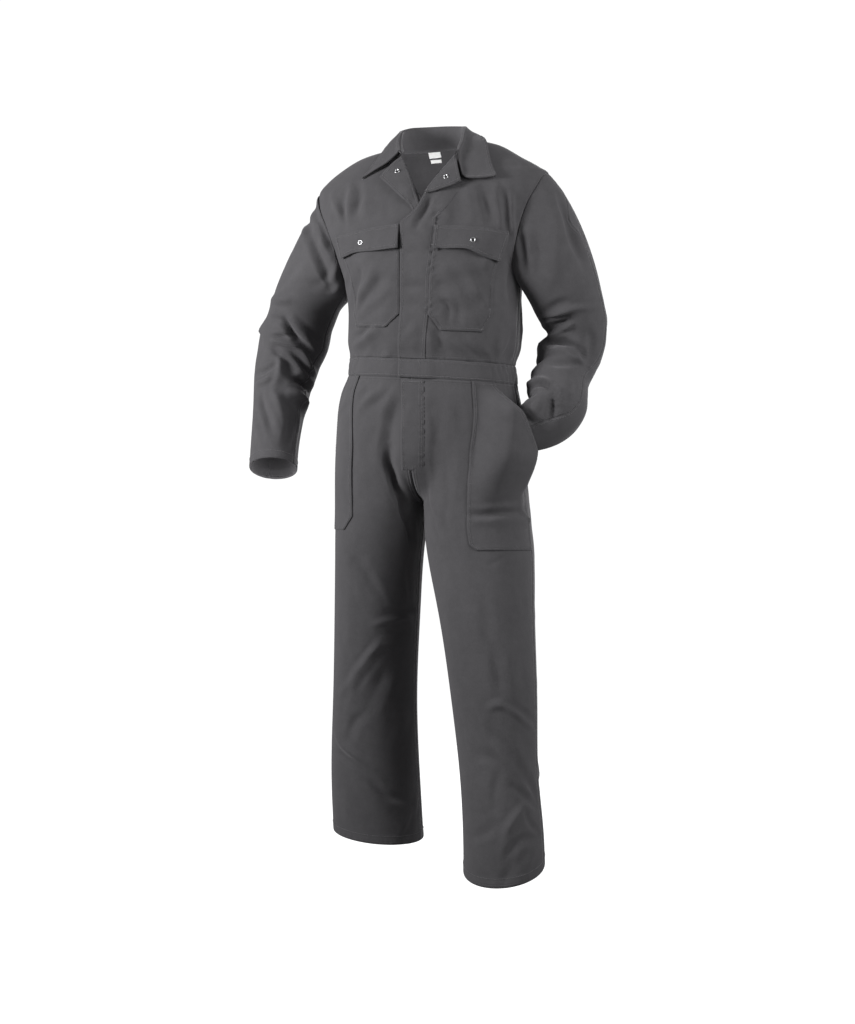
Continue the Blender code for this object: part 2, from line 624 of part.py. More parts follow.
frac = np.array([0, 0.12, 0.25, 0.38, 0.50, 0.62, 0.75, 0.88, 1.0])
BACK_TURNS = 90 + 90*frac
both = np.concatenate([-BACK_TURNS, BACK_TURNS[-2::-1]])
P, N = [], []
for run in (WAIST_LOW, WAIST_TOP):
    k = np.full(len(both), run)
    n = normals(trunk, both, k, 0.4, 0.002, 1.0)
    n[..., 2] = 0
    P.append(trunk(both, k))
    N.append(unit(n))
wall("waistband_back", inset(np.stack(P), "LRBT"), np.stack(N), -CLOTH, 0.0, TWILL)

# ----------------------------------------------------------------- trousers
LEG_ROWS = [   # height on the inner line (rise, then inseam), height at the side
 (-0.463, -0.463), (-0.540, -0.540), (-0.600, -0.600), (-0.645, -0.640), (-0.672, -0.680),
 (-0.692, -0.720), (-0.705, -0.760), (-0.745, -0.800), (-0.800, -0.845), (-0.870, -0.900),
 (-0.950, -0.970), (-1.030, -1.040), (-1.110, -1.110), (-1.180, -1.180), (-1.240, -1.240),
 (-1.300, -1.300), (-1.350, -1.350), (-1.400, -1.400)]
PATCH_TURN = {   # the hip pocket's inner edge on its leg
 +1: Table(("z", "psi"), [(-0.463, 0.2222), (-0.585, 0.225), (-0.65, 0.243), (-0.70, 0.260),
      (-0.80, 0.270), (-1.00, 0.257), (-1.45, 0.25)]),
 -1: Table(("z", "psi"), [(-0.463, 0.2222), (-0.585, 0.253), (-0.66, 0.275), (-0.73, 0.288),
      (-0.76, 0.290), (-1.00, 0.262), (-1.45, 0.25)]),
}


def hem_drop(side, psi):
    mid, front, inside = HEM[side]
    return mid - front*np.sin(2*pi*psi) - inside*np.cos(2*pi*psi)


def leg_panel(side, back):
    rows = []
    for zi, zo in LEG_ROWS:
        if back:
            psi = 1 - 0.5*(1 - frac[::-1])
        else:
            p = float(PATCH_TURN[side]("psi", zi))
            first = np.array(TURNS[side][1:5] + [40])/40*p
            rest = (np.array(WAIST_TURNS[1:])/180 - 0.2222)/(0.5 - 0.2222)
            psi = np.concatenate([first, p + (0.5 - p)*rest])
        d = np.minimum(psi, 1 - psi)
        z = zo + (zi - zo)*(1 - smooth(d/0.25))
        low = np.clip((-z - 1.05)/(1.40 - 1.05), 0, 1)
        z = z + (hem_drop(side, psi) + 1.40)*low
        rows.append((psi, z))
    S = np.array([r[0] for r in rows])
    Z = np.array([r[1] for r in rows])

    def surf(a, b):
        return leg(side, a, b)
    P = surf(S, Z)
    N = normals(surf, S, Z, 0.002, 0.002, side)
    for i, (zi, zo) in enumerate(LEG_ROWS):
        if zi >= CROTCH:                     # rim of the rise lies in the middle plane
            N[i, 0, 0] = 0
            if zi == CROTCH:
                N[i, 0] = (0, 0, -1)
    N[0, :, 2] = 0
    N = unit(N)
    P = folded("leg%+d" % side, surf, P, N)
    return P, N, S, Z


LEGS = {}
for side, name in ((+1, "left"), (-1, "right")):
    for back, which in ((False, "front"), (True, "back")):
        P, N, S, Z = leg_panel(side, back)
        P = inset(P, "LRB")
        LEGS[side, which] = (P, N, S, Z)
        wall("trouser_%s_%s" % (which, name), P, N, -CLOTH, 0.0, TWILL)

# ------------------------------------------------------ fly and hip pockets
def on_hips(x, z, depth):
    """A point of the trouser fronts at a given x and height."""
    side = 1 if x >= float(MID_X("x", z)) else -1
    a, b = 0.0, 0.25
    for _ in range(40):
        m = (a + b)/2
        if side*(float(leg(side, m, z)[0]) - x) < 0:
            a = m
        else:
            b = m
    m = (a + b)/2
    n = normals(lambda p, q: leg(side, p, q), np.array(m), np.array(z), 0.004, 0.004, side)
    return leg(side, m, z) + n*depth, n


FLY = [   # height, x of the two edges, how far it stands off the rise
 (-0.4665, -0.0230, 0.0260, 0.0050), (-0.500, -0.0220, 0.0270, 0.0050),
 (-0.540, -0.0220, 0.0270, 0.0050), (-0.580, -0.0230, 0.0255, 0.0050),
 (-0.615, -0.0255, 0.0225, 0.0055), (-0.645, -0.0290, 0.0190, 0.0065)]
pts, nrm = [], []
for z, x0, x1, off in FLY:
    r = [on_hips(x0 + (x1 - x0)*f, z, 0.0) for f in (0, 0.33, 0.67, 1)]
    n = unit(sum(q[1] for q in r))
    n[0] *= 0.3
    n = unit(n)
    pts.append([q[0] + n*(off if i in (1, 2) else off*0.75) for i, q in enumerate(r)])
    nrm.append([n]*4)
wall("fly", np.array(pts), np.array(nrm), -PATCH, 0.0, TWILL)

BULGE = 0.056           # the left pocket stands this far off round the sleeve end


def pocket_bulge(psi, z):
    a = smooth((psi - 0.238)/0.105)*(1 - smooth((psi - 0.428)/0.066))
    b = smooth((-z - 0.463)/0.075)*(1 - smooth((-z - 0.605)/0.140))
    return BULGE*a*b


for side, name in ((+1, "left"), (-1, "right")):
    P, N, S, Z = LEGS[side, "front"]
    r0, r1, c0, c1 = 0, (7 if side > 0 else 6), 4, 9
    keep = np.ones((r1 - r0, c1 - c0), int)
    keep[0, 3:] = 0                      # the slanted opening
    keep[1, 4:] = 0
    keep[0, 2] = 3
    keep[1, 3] = 3
    keep[2, 4] = 3
    if side < 0:
        keep[-1, 0] = 5                  # the corner cut off at the foot
    bulge = pocket_bulge(S[r0:r1+1, c0:c1+1], Z[r0:r1+1, c0:c1+1])
    lo = LAY + (bulge if side > 0 else 0.10*bulge)
    patch("hip_pocket_" + name, P, N, (r0, r1), (c0, c1), lo, PATCH, TWILL, keep)

# ------------------------------------------------------------------ sleeves
SEAMS = {   # turn of the back seam and of the under seam along the sleeve
 +1: Table(("along", "behind", "under"), [(0, 340, 200), (0.06, 365, 200), (0.10, 388, 200),
      (0.16, 372, 200), (0.24, 364, 200), (0.34, 366, 200), (0.42, 376, 200),
      (0.50, 368, 200), (0.61, 366, 200)]),
 -1: Table(("along", "behind", "under"), [(0, 300, 160), (0.10, 300, 162), (0.30, 300, 164),
      (0.60, 300, 166)]),
}
SLEEVE_ROWS = {
 +1: [0, 0.035, 0.075, 0.115, 0.155, 0.195, 0.235, 0.275, 0.310, 0.340, 0.370, 0.410,
      0.460, 0.505, 0.550, 0.610],
 -1: [0, 0.035, 0.075, 0.115, 0.155, 0.195, 0.235, 0.270, 0.300, 0.330, 0.360, 0.390,
      0.435, 0.490, 0.550, 0.600]}


def sleeve_piece(side, under):
    rows = []
    for s in SLEEVE_ROWS[side]:
        b, u = float(SEAMS[side]("behind", s)), float(SEAMS[side]("under", s))
        n0 = (200 - (340 - 360))//20 if side > 0 else (160 - (300 - 360))//20
        if under:
            rows.append(np.linspace(u, b, 360//20 - n0 + 1))
        else:
            rows.append(np.linspace(b - 360, u, n0 + 1))
    F = np.array(rows)
    S = np.array(SLEEVE_ROWS[side])[:, None] + 0*F

    def surf(a, b):
        return sleeve(side, a, b)
    P = surf(F, S)
    N = normals(surf, F, np.maximum(S, 0.004), 0.6, 0.003, side)
    N[0] = armhole_normal(side, F[0])
    P = folded("sleeve%+d" % side, surf, P, N)
    return inset(P, "LRB"), N


for side, name in ((+1, "left"), (-1, "right")):
    for under, which in ((False, "upper"), (True, "under")):
        P, N = sleeve_piece(side, under)
        wall("sleeve_%s_%s" % (name, which), P, N, -CLOTH, 0.0, TWILL)

# ------------------------------------------------------------------ lapels
def on_trunk(x, z, depth):
    """The point of the trunk's front at a given x and height, moved out."""
    a, b = 0.0, NECK_RUN
    k = 0.3
    for _ in range(3):
        cx = float(TRUNK("cx", k))
        a, b = 0.0, NECK_RUN
        for _ in range(40):
            k = (a + b)/2
            if float(TRUNK("z", k)) + float(TRUNK("tilt", k))*(x - cx) < z:
                a = k
            else:
                b = k
    lo, hi = -90.0, 90.0
    for _ in range(40):
        m = (lo + hi)/2
        if float(trunk(m, k)[0]) < x:
            lo = m
        else:
            hi = m
    n = normals(trunk, np.array(m), np.array(k), 0.4, 0.002, 1.0)
    return trunk(m, k) + n*depth, n


LAPEL_NAMES = ("t", "roll_x", "roll_z", "edge_x", "edge_z", "stand")
LAPEL = {   # roll line and outer edge on the chest, and how far the edge stands off
 -1: Table(LAPEL_NAMES, [(0.00, 0.0101, -0.1133, -0.0016, -0.1303, 0.0000),
      (0.50, -0.0064, -0.0771, -0.0292, -0.1070, 0.0035),
      (0.85, -0.0274, -0.0399, -0.0589, -0.0815, 0.0045),
      (1.00, -0.0367, -0.0224, -0.0736, -0.0694, 0.0045)]),
 +1: Table(LAPEL_NAMES, [(0.00, 0.0239, -0.1033, 0.0280, -0.1051, 0.0015),
      (0.20, 0.0335, -0.0880, 0.0431, -0.1036, 0.0030),
      (0.40, 0.0432, -0.0733, 0.0598, -0.0999, 0.0045),
      (0.70, 0.0576, -0.0506, 0.0779, -0.0945, 0.0060),
      (1.00, 0.0718, -0.0276, 0.0950, -0.0861, 0.0060)]),
}


def lapel(side, across, along):
    P, N = [], []
    T = LAPEL[side]
    lift = LIFT if side > 0 else 0.0
    for t in along:
        p, n = [], []
        for a in across:
            x = float(T("roll_x", t))*(1-a) + float(T("edge_x", t))*a
            z = float(T("roll_z", t))*(1-a) + float(T("edge_z", t))*a
            off = lift + 0.0011 + 0.0019*min(1, 5*t + (side > 0)) \
                + 0.0045*np.sin(pi*a)*min(1, 3*t) + float(T("stand", t))*a
            q, m = on_trunk(x, z, off)
            p.append(q)
            n.append(m)
        P.append(p)
        N.append(n)
    return np.array(P), np.array(N)


for side, name in ((+1, "left"), (-1, "right")):
    P, N = lapel(side, np.linspace(0, 1, 5), np.linspace(0, 1, 8))
    FRONT[side, "lapel"] = (P, N)
    wall("lapel_" + name, P, N, -PATCH/2, PATCH/2, TWILL)

# ------------------------------------------------------------------- collar
COLLAR_NAMES = ("t", "base_x", "base_y", "base_z", "fold_x", "fold_y", "fold_z",
                "edge_x", "edge_y", "edge_z", "sag")
COLLAR = Table(COLLAR_NAMES, [
 (0.00, -0.0350, -0.0775, -0.0205, -0.0360, -0.0790, -0.0160, -0.1171, -0.0850, -0.0656, 0.0100),
 (0.07, -0.0411, -0.0520, -0.0079, -0.0455, -0.0550,  0.0077, -0.1009, -0.0715, -0.0397, 0.0060),
 (0.15, -0.0600, -0.0250,  0.0060, -0.0518, -0.0260,  0.0279, -0.0858, -0.0455, -0.0077, 0.0040),
 (0.26, -0.0690,  0.0050,  0.0100, -0.0598,  0.0070,  0.0388, -0.0865,  0.0080,  0.0100, 0.0030),
 (0.38, -0.0510,  0.0400,  0.0130, -0.0480,  0.0420,  0.0490, -0.0650,  0.0600,  0.0140, 0.0000),
 (0.50,  0.0000,  0.0600,  0.0165,  0.0001,  0.0600,  0.0519,  0.0000,  0.0860,  0.0170, 0.0000),
 (0.62,  0.0520,  0.0420,  0.0190,  0.0477,  0.0440,  0.0470,  0.0690,  0.0620,  0.0220, 0.0000),
 (0.74,  0.0730,  0.0050,  0.0210,  0.0662,  0.0080,  0.0400,  0.1050,  0.0100,  0.0190, 0.0050),
 (0.85,  0.0740, -0.0280,  0.0130,  0.0743, -0.0290,  0.0205,  0.1290, -0.0400,  0.0010, 0.0080),
 (0.93,  0.0745, -0.0560, -0.0065,  0.0779, -0.0575, -0.0009,  0.1459, -0.0670, -0.0429, 0.0140),
 (1.00,  0.0738, -0.0765, -0.0245,  0.0758, -0.0785, -0.0210,  0.1632, -0.0880, -0.0721, 0.0300)])


def collar(v, t):
    """v 0 at the neck seam, 0.42 at the fold, 1 at the leaf's edge."""
    v, t = np.broadcast_arrays(np.asarray(v, float), np.asarray(t, float))
    b = np.stack([COLLAR("base_" + n, t) for n in "xyz"], -1)
    f = np.stack([COLLAR("fold_" + n, t) for n in "xyz"], -1)
    e = np.stack([COLLAR("edge_" + n, t) for n in "xyz"], -1)
    rise = unit(f - b)
    out = unit((e - b)*np.array([1, 1, 0.0]))
    # stand: straight; roll: a half turn of 4 mm; leaf: slightly full
    q = np.clip(v/0.36, 0, 1)[..., None]
    stand = b + (f - b)*q
    a = (np.clip((v - 0.36)/0.12, 0, 1)*pi)[..., None]
    r = 0.0035
    roll = f + out*r*(1 - np.cos(a)) + rise*r*np.sin(a)
    w = np.clip((v - 0.48)/0.52, 0, 1)[..., None]
    start = f + out*2*r
    leaf = start + (e - start)*w + (unit(np.cross(np.cross(e - start, out), e - start)) * 0.004
                                    * np.sin(pi*w))
    droop = 1 - np.abs(w - 0.32)**1.5/np.where(w < 0.32, 0.32, 0.68)**1.5
    leaf = leaf + np.array([0, -0.45, -1.0])*droop*COLLAR("sag", t)[..., None]
    return np.where(v[..., None] < 0.36, stand, np.where(v[..., None] < 0.48, roll, leaf))


cv = np.array([0, 0.36, 0.42, 0.48, 0.646, 0.80, 1.0])
ct = np.array([0, 0.05, 0.10, 0.16, 0.22, 0.29, 0.36, 0.43, 0.50, 0.57, 0.64, 0.71, 0.78,
               0.84, 0.90, 0.95, 1.0])
T, V = np.meshgrid(ct, cv, indexing='ij')
P = collar(V, T)
N = unit(np.cross(np.gradient(P, axis=0), np.gradient(P, axis=1)))
wall("collar", P, N, -CLOTH*0.45, CLOTH*0.45, TWILL)

# ------------------------------------------------------------ snaps, labels
SNAP = [(0.0, 0.0007), (0.0032, 0.0007), (0.0042, 0.0015), (0.0056, 0.0010),
        (0.0056, 0.0), (0.0, 0.0)]       # radius, height
SIDES = 8               # corners of a snap's ring


def snap(name, c, n):
    n = unit(n)
    a = unit(np.cross(n, (0.0, 0.0, 1.0)))
    b = np.cross(n, a)
    verts, faces, rings = [], [], []
    for r, h in SNAP:
        if r == 0:
            rings.append([len(verts)]*SIDES)
            verts.append(c + n*h)
        else:
            rings.append(list(range(len(verts), len(verts) + SIDES)))
            for i in range(SIDES):
                t = 2*pi*i/SIDES
                verts.append(c + (a*np.cos(t) + b*np.sin(t))*r + n*h)
    for p, q in zip(rings[:-1], rings[1:]):
        for i in range(SIDES):
            j = (i + 1) % SIDES
            if p[0] != p[1]:
                faces.append((p[i], p[j], q[i]) if q[0] == q[1] else (p[i], p[j], q[j]))
            if q[0] != q[1]:
                faces.append((p[i], q[j], q[i]))
    V = np.array(verts)
    F = np.array(faces)
    if np.sum(np.einsum('ij,ij->i', V[F[:, 0]], np.cross(V[F[:, 1]], V[F[:, 2]]))) < 0:
        faces = [f[::-1] for f in faces]
    me = bpy.data.meshes.new(name)
    me.from_pydata([tuple(map(float, v)) for v in verts], [], faces)
    me.update()
    ob = bpy.data.objects.new(name, me)
    me.materials.append(STEEL)
    bpy.context.scene.collection.objects.link(ob)
    MADE.append(ob)


def between(P, r, c):
    i, j = min(int(r), P.shape[0] - 2), min(int(c), P.shape[1] - 2)
    u, v = r - i, c - j
    return (P[i, j]*(1-u)*(1-v) + P[i+1, j]*u*(1-v) + P[i, j+1]*(1-u)*v + P[i+1, j+1]*u*v)


for side, name, col in ((+1, "left", 2.2), (-1, "right", 2.1)):
    P, N, hi = FRONT[side, "flap"]
    q = P + N*hi[..., None]
    n = between(N, 1.0, col)
    snap("snap_flap_" + name, between(q, 1.0, col) + n*0.0010, n)
for side, name, row, col in ((+1, "left", 4.2, 2.2), (-1, "right", 5.6, 1.8)):
    P, N = FRONT[side, "lapel"]
    n = between(N, row, col)
    snap("snap_lapel_" + name, between(P, row, col) + n*(PATCH/2 + 0.0008), n)

for name, x0, x1, z0, z1 in (("label_main", -0.0235, 0.0015, -0.0035, 0.0080),
                             ("label_size", -0.0220, 0.0005, -0.0150, -0.0065)):
    p, m = [], []
    for z in (z0, z1):
        row, nor = [], []
        for x in (x0, (x0 + x1)/2, x1):
            k = float(np.interp(z, TRUNK.c["z"][0], TRUNK.k))
            t = 180 - np.degrees(np.arcsin(x/float(TRUNK("width", k))))
            nor.append(normals(trunk, np.array(t), np.array(k), 0.4, 0.002, 1.0))
            row.append(trunk(t, k) - nor[-1]*(CLOTH + 0.0016))
        p.append(row)
        m.append(nor)
    wall(name, np.array(p), np.array(m), -0.0005, 0.0, LABEL)
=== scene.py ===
"""Looks of the boiler suit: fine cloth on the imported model's form, seams, stitches,
materials, floor, light and camera.  Metres, +Z up, +X the wearer's left, -Y front."""
import bpy
import numpy as np
from math import pi, radians
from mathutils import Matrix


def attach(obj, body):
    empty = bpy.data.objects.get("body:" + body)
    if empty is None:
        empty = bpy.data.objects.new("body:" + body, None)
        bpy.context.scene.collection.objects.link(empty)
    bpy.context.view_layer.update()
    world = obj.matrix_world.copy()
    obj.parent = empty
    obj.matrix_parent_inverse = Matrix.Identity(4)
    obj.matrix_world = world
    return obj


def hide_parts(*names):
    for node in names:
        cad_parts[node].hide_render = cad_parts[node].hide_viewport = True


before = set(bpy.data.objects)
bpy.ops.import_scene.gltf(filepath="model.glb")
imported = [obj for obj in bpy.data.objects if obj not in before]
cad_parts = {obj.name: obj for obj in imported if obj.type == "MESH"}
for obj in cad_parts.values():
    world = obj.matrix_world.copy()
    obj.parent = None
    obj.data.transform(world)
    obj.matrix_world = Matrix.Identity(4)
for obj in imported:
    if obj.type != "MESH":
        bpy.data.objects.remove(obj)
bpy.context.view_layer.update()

# ------------------------------------------------------------ driving sizes
CLOTH = 0.0020          # wall of the main cloth
PATCH = 0.0015          # wall of pockets, flaps, placket and fly
GAP = 0.00034           # clear space left at every seam
LAY = 0.0004            # clear space under anything lying on a panel
WAIST_TOP, WAIST_LOW = 0.038, 0.0      # run of the waistband on the trunk
ARM_TOP, ARM_LOW, ARM_HALF = 0.395, 0.188, 29.0   # armhole: run, run, degrees
NECK_RUN = 0.580
CROTCH = -0.705         # height of the crotch point
RISE_FRONT = -0.590     # heights where the front and the back of the rise turn under
RISE_BACK = -0.500
HEM = {+1: (-1.408, 0.028, 0.000),    # hem height, lower in front by, lower inside by
       -1: (-1.384, 0.012, 0.010)}
CAP_END = 0.235         # length of the sleeve cap
EDGE_TURN = -6.5        # front edge of the left front, degrees past the middle
UNDER_TURN = -5.0       # front edge of the right front, under the left
LIFT = 0.0042           # the left front rides over the right by this much


# ------------------------------------------------------------------- tables
class Table:
    """Rows of named columns read at any key: a monotone cubic, or an even spline."""

    def __init__(self, names, rows, even=False):
        a = np.array(rows, float)
        a = a[np.argsort(a[:, 0])]
        self.k = a[:, 0]
        self.c = {}
        for i, n in enumerate(names[1:], 1):
            y = a[:, i]
            h = np.diff(self.k)
            d = np.diff(y) / h
            m = np.zeros(len(y))
            m[0], m[-1] = d[0], d[-1]
            for j in range(1, len(y) - 1):
                if d[j-1] * d[j] > 0:
                    w1, w2 = 2*h[j] + h[j-1], h[j] + 2*h[j-1]
                    m[j] = (w1 + w2) / (w1 / d[j-1] + w2 / d[j])
            if even:
                q = len(y)
                A = np.zeros((q, q))
                r = np.zeros(q)
                A[0, 0], A[0, 1], r[0] = 2, 1, 3*d[0]
                A[-1, -1], A[-1, -2], r[-1] = 2, 1, 3*d[-1]
                for j in range(1, q - 1):
                    A[j, j-1], A[j, j], A[j, j+1] = h[j], 2*(h[j-1] + h[j]), h[j-1]
                    r[j] = 3*(h[j]*d[j-1] + h[j-1]*d[j])
                m = np.linalg.solve(A, r)
            self.c[n] = (y, m)

    def __call__(self, name, t):
        t = np.clip(np.asarray(t, float), self.k[0], self.k[-1])
        y, m = self.c[name]
        i = np.clip(np.searchsorted(self.k, t, side='right') - 1, 0, len(self.k) - 2)
        h = self.k[i+1] - self.k[i]
        s = (t - self.k[i]) / h
        return ((2*s**3 - 3*s**2 + 1) * y[i] + (s**3 - 2*s**2 + s) * h * m[i]
                + (-2*s**3 + 3*s**2) * y[i+1] + (s**3 - s**2) * h * m[i+1])


def smooth(t):
    t = np.clip(t, 0, 1)
    return t*t*(3 - 2*t)


def unit(v):
    return v / np.maximum(np.linalg.norm(v, axis=-1, keepdims=True), 1e-12)


# -------------------------------------------------------------------- trunk
TRUNK = Table(
 ("run",  "z",   "cx",  "width", "front", "back", "power", "tilt", "yaw"), [
 (0.000, -0.463, 0.004, 0.172, 0.122, 0.112, 2.3, -0.065, -3.0),
 (0.038, -0.425, 0.004, 0.168, 0.120, 0.108, 2.3, -0.062, -3.0),
 (0.075, -0.388, 0.006, 0.174, 0.128, 0.116, 2.3, -0.045, -2.5),
 (0.130, -0.333, 0.008, 0.174, 0.130, 0.120, 2.3, -0.020, -1.0),
 (0.190, -0.273, 0.007, 0.178, 0.131, 0.123, 2.3,  0.020,  0.0),
 (0.260, -0.203, 0.008, 0.206, 0.128, 0.124, 2.3,  0.060,  1.0),
 (0.320, -0.143, 0.006, 0.228, 0.120, 0.122, 2.25, 0.085,  2.0),
 (0.365, -0.098, 0.005, 0.239, 0.108, 0.117, 2.2,  0.076,  2.0),
 (0.395, -0.071, 0.004, 0.236, 0.096, 0.108, 2.1,  0.056,  2.0),
 (0.425, -0.052, 0.003, 0.217, 0.085, 0.098, 2.05, 0.040,  2.0),
 (0.460, -0.032, 0.002, 0.187, 0.075, 0.088, 2.0,  0.034,  2.0),
 (0.510, -0.0065, 0.000, 0.140, 0.063, 0.077, 2.0, 0.062,  2.0),
 (0.550,  0.0035, 0.000, 0.100, 0.053, 0.068, 2.0, 0.088,  2.0),
 (0.580,  0.010, 0.000, 0.074, 0.046, 0.062, 2.0,  0.098,  2.0)])


def superring(th, width, front, back, n):
    t = np.radians(th)
    s, c = np.sin(t), np.cos(t)
    x = width * np.sign(s) * np.abs(s)**(2/n)
    y = -np.where(c > 0, front, back) * np.sign(c) * np.abs(c)**(2/n)
    return x, y


def yawed(x, y, yaw):
    a = np.radians(yaw)
    return x*np.cos(a) - y*np.sin(a), x*np.sin(a) + y*np.cos(a)


def trunk(th, run):
    """th degrees: 0 front middle, 90 the wearer's left side, 180 back middle."""
    th, run = np.broadcast_arrays(np.asarray(th, float), np.asarray(run, float))
    x, y = superring(th, TRUNK("width", run), TRUNK("front", run), TRUNK("back", run),
                     TRUNK("power", run))
    z = TRUNK("z", run) + TRUNK("tilt", run) * x
    x, y = yawed(x, y, TRUNK("yaw", run))
    return np.stack([x + TRUNK("cx", run), y, z], -1)


def armhole(side, phi):
    """phi 0 at the shoulder tip, 90 in front, 180 under the arm, 270 behind."""
    p = np.radians(phi)
    run = (ARM_TOP + ARM_LOW)/2 + (ARM_TOP - ARM_LOW)/2 * np.cos(p)
    return side*(90 - ARM_HALF*np.sin(p)), run


# ------------------------------------------------------------------ sleeves
SLEEVE_NAMES = ("along", "x", "y", "z", "across", "deep", "turn")
SLEEVE = {
 +1: Table(SLEEVE_NAMES, [
 (0.10, 0.243,  0.005, -0.155, 0.066, 0.084, 0),
 (0.16, 0.256,  0.018, -0.222, 0.070, 0.080, 0),
 (0.23, 0.267,  0.038, -0.292, 0.071, 0.074, 0),
 (0.29, 0.281,  0.055, -0.345, 0.064, 0.066, 0),
 (0.33, 0.281,  0.060, -0.385, 0.061, 0.063, 0),
 (0.38, 0.268,  0.046, -0.430, 0.059, 0.061, 0),
 (0.43, 0.260,  0.018, -0.475, 0.057, 0.060, 6),
 (0.48, 0.261, -0.014, -0.526, 0.054, 0.058, 16),
 (0.53, 0.228, -0.048, -0.557, 0.030, 0.050, 28),
 (0.57, 0.198, -0.072, -0.579, 0.014, 0.041, 35),
 (0.61, 0.178, -0.088, -0.608, 0.012, 0.041, 42)], True),
 -1: Table(SLEEVE_NAMES, [
 (0.10, -0.236,  0.005, -0.185, 0.064, 0.084, 0),
 (0.16, -0.252,  0.018, -0.240, 0.068, 0.080, 0),
 (0.23, -0.277,  0.035, -0.290, 0.069, 0.074, 0),
 (0.29, -0.300,  0.045, -0.340, 0.069, 0.070, 0),
 (0.34, -0.317,  0.050, -0.385, 0.069, 0.067, 0),
 (0.39, -0.325,  0.036, -0.432, 0.065, 0.063, 0),
 (0.45, -0.328,  0.014, -0.492, 0.056, 0.060, 0),
 (0.51, -0.326, -0.012, -0.548, 0.050, 0.056, 0),
 (0.56, -0.323, -0.034, -0.600, 0.048, 0.053, 0),
 (0.60, -0.319, -0.050, -0.637, 0.048, 0.051, 0)], True),
}


LEAVES = {   # which way the cap leaves the armhole: outwards, more at the top, down, more at the top
 +1: (0.53, 0.17, -0.75, 0.05),
 -1: (0.39, 0.04, -0.825, -0.02)}


def sleeve_ring(side, phi, s):
    T = SLEEVE[side]
    c = np.stack([T(n, s) for n in "xyz"], -1)
    t = unit(np.stack([T(n, s + 0.012) - T(n, s - 0.012) for n in "xyz"], -1))
    out = np.zeros_like(t)
    out[..., 0] = side
    out = unit(out - np.sum(out*t, -1, keepdims=True) * t)
    fro = np.cross(t, out)
    fro = np.where(fro[..., 1:2] > 0, -fro, fro)
    tw = np.radians(T("turn", s))[..., None]
    o2 = out*np.cos(tw) + fro*np.sin(tw)
    f2 = fro*np.cos(tw) - out*np.sin(tw)
    p = np.radians(phi)[..., None]
    return (c + o2*np.cos(p)*T("across", s)[..., None]
            + f2*np.sin(p)*T("deep", s)[..., None])


def sleeve(side, phi, s):
    """phi 0 outer line, 90 front, 180 inner, 270 back; s metres from the shoulder."""
    phi, s = np.broadcast_arrays(np.asarray(phi, float), np.asarray(s, float))
    ring = sleeve_ring(side, phi, np.maximum(s, CAP_END))
    th, run = armhole(side, phi)
    a = trunk(th, run)
    b = sleeve_ring(side, phi, np.full(s.shape, CAP_END))
    b2 = sleeve_ring(side, phi, np.full(s.shape, CAP_END + 0.01))
    tb = unit(b2 - b)
    L = np.linalg.norm(b - a, axis=-1, keepdims=True)
    p = np.radians(phi)
    a0, a1, z0, z1 = LEAVES[side]
    ta = unit(np.stack([side*(a0 + a1*np.cos(p)), -0.18*np.sin(p), z0 + z1*np.cos(p)], -1))
    q = (np.clip(s, 0, CAP_END) / CAP_END)[..., None]
    cap = ((2*q**3 - 3*q**2 + 1)*a + (q**3 - 2*q**2 + q)*L*ta*0.9
           + (-2*q**3 + 3*q**2)*b + (q**3 - q**2)*L*tb*0.9)
    return np.where(s[..., None] < CAP_END, cap, ring)


# ------------------------------------------------------------ hips and legs
HIPS = Table(("z", "cx", "width", "front", "back", "power", "tilt", "yaw"), [
 (-0.463,  0.004, 0.172, 0.122, 0.112, 2.3, -0.065, -3.0),
 (-0.500,  0.001, 0.181, 0.125, 0.120, 2.3, -0.055, -3.0),
 (-0.550,  0.002, 0.185, 0.124, 0.130, 2.3, -0.040, -3.0),
 (-0.600,  0.003, 0.187, 0.120, 0.133, 2.3, -0.025, -3.0),
 (-0.660,  0.003, 0.188, 0.114, 0.128, 2.3, -0.010, -3.0),
 (-0.740,  0.004, 0.190, 0.110, 0.120, 2.3,  0.000, -3.0),
 (-0.800,  0.004, 0.192, 0.112, 0.116, 2.3,  0.000, -3.0)])
LEG_NAMES = ("z", "cx", "cy", "width", "deep", "power")
LEG = {
 +1: Table(LEG_NAMES, [
 (-0.600, 0.092,  0.000, 0.100, 0.125, 2.2),
 (-0.700, 0.094,  0.002, 0.103, 0.118, 2.2),
 (-0.800, 0.107, -0.014, 0.105, 0.108, 2.1),
 (-0.910, 0.126, -0.038, 0.095, 0.100, 2.1),
 (-1.100, 0.153, -0.070, 0.083, 0.088, 2.0),
 (-1.240, 0.169, -0.092, 0.076, 0.080, 2.0),
 (-1.350, 0.184, -0.115, 0.078, 0.078, 2.0),
 (-1.460, 0.189, -0.130, 0.078, 0.076, 2.0)], True),
 -1: Table(LEG_NAMES, [
 (-0.600, -0.104, 0.004, 0.091, 0.125, 2.2),
 (-0.700, -0.105, 0.008, 0.091, 0.118, 2.2),
 (-0.800, -0.115, 0.020, 0.087, 0.108, 2.1),
 (-0.910, -0.125, 0.036, 0.085, 0.100, 2.1),
 (-1.110, -0.140, 0.062, 0.086, 0.088, 2.0),
 (-1.260, -0.146, 0.082, 0.092, 0.082, 2.0),
 (-1.420, -0.143, 0.098, 0.094, 0.078, 2.0)], True),
}
MID_X = Table(("z", "x"), [(-0.463, 0.0), (-0.600, -0.006), (-0.720, -0.012)])


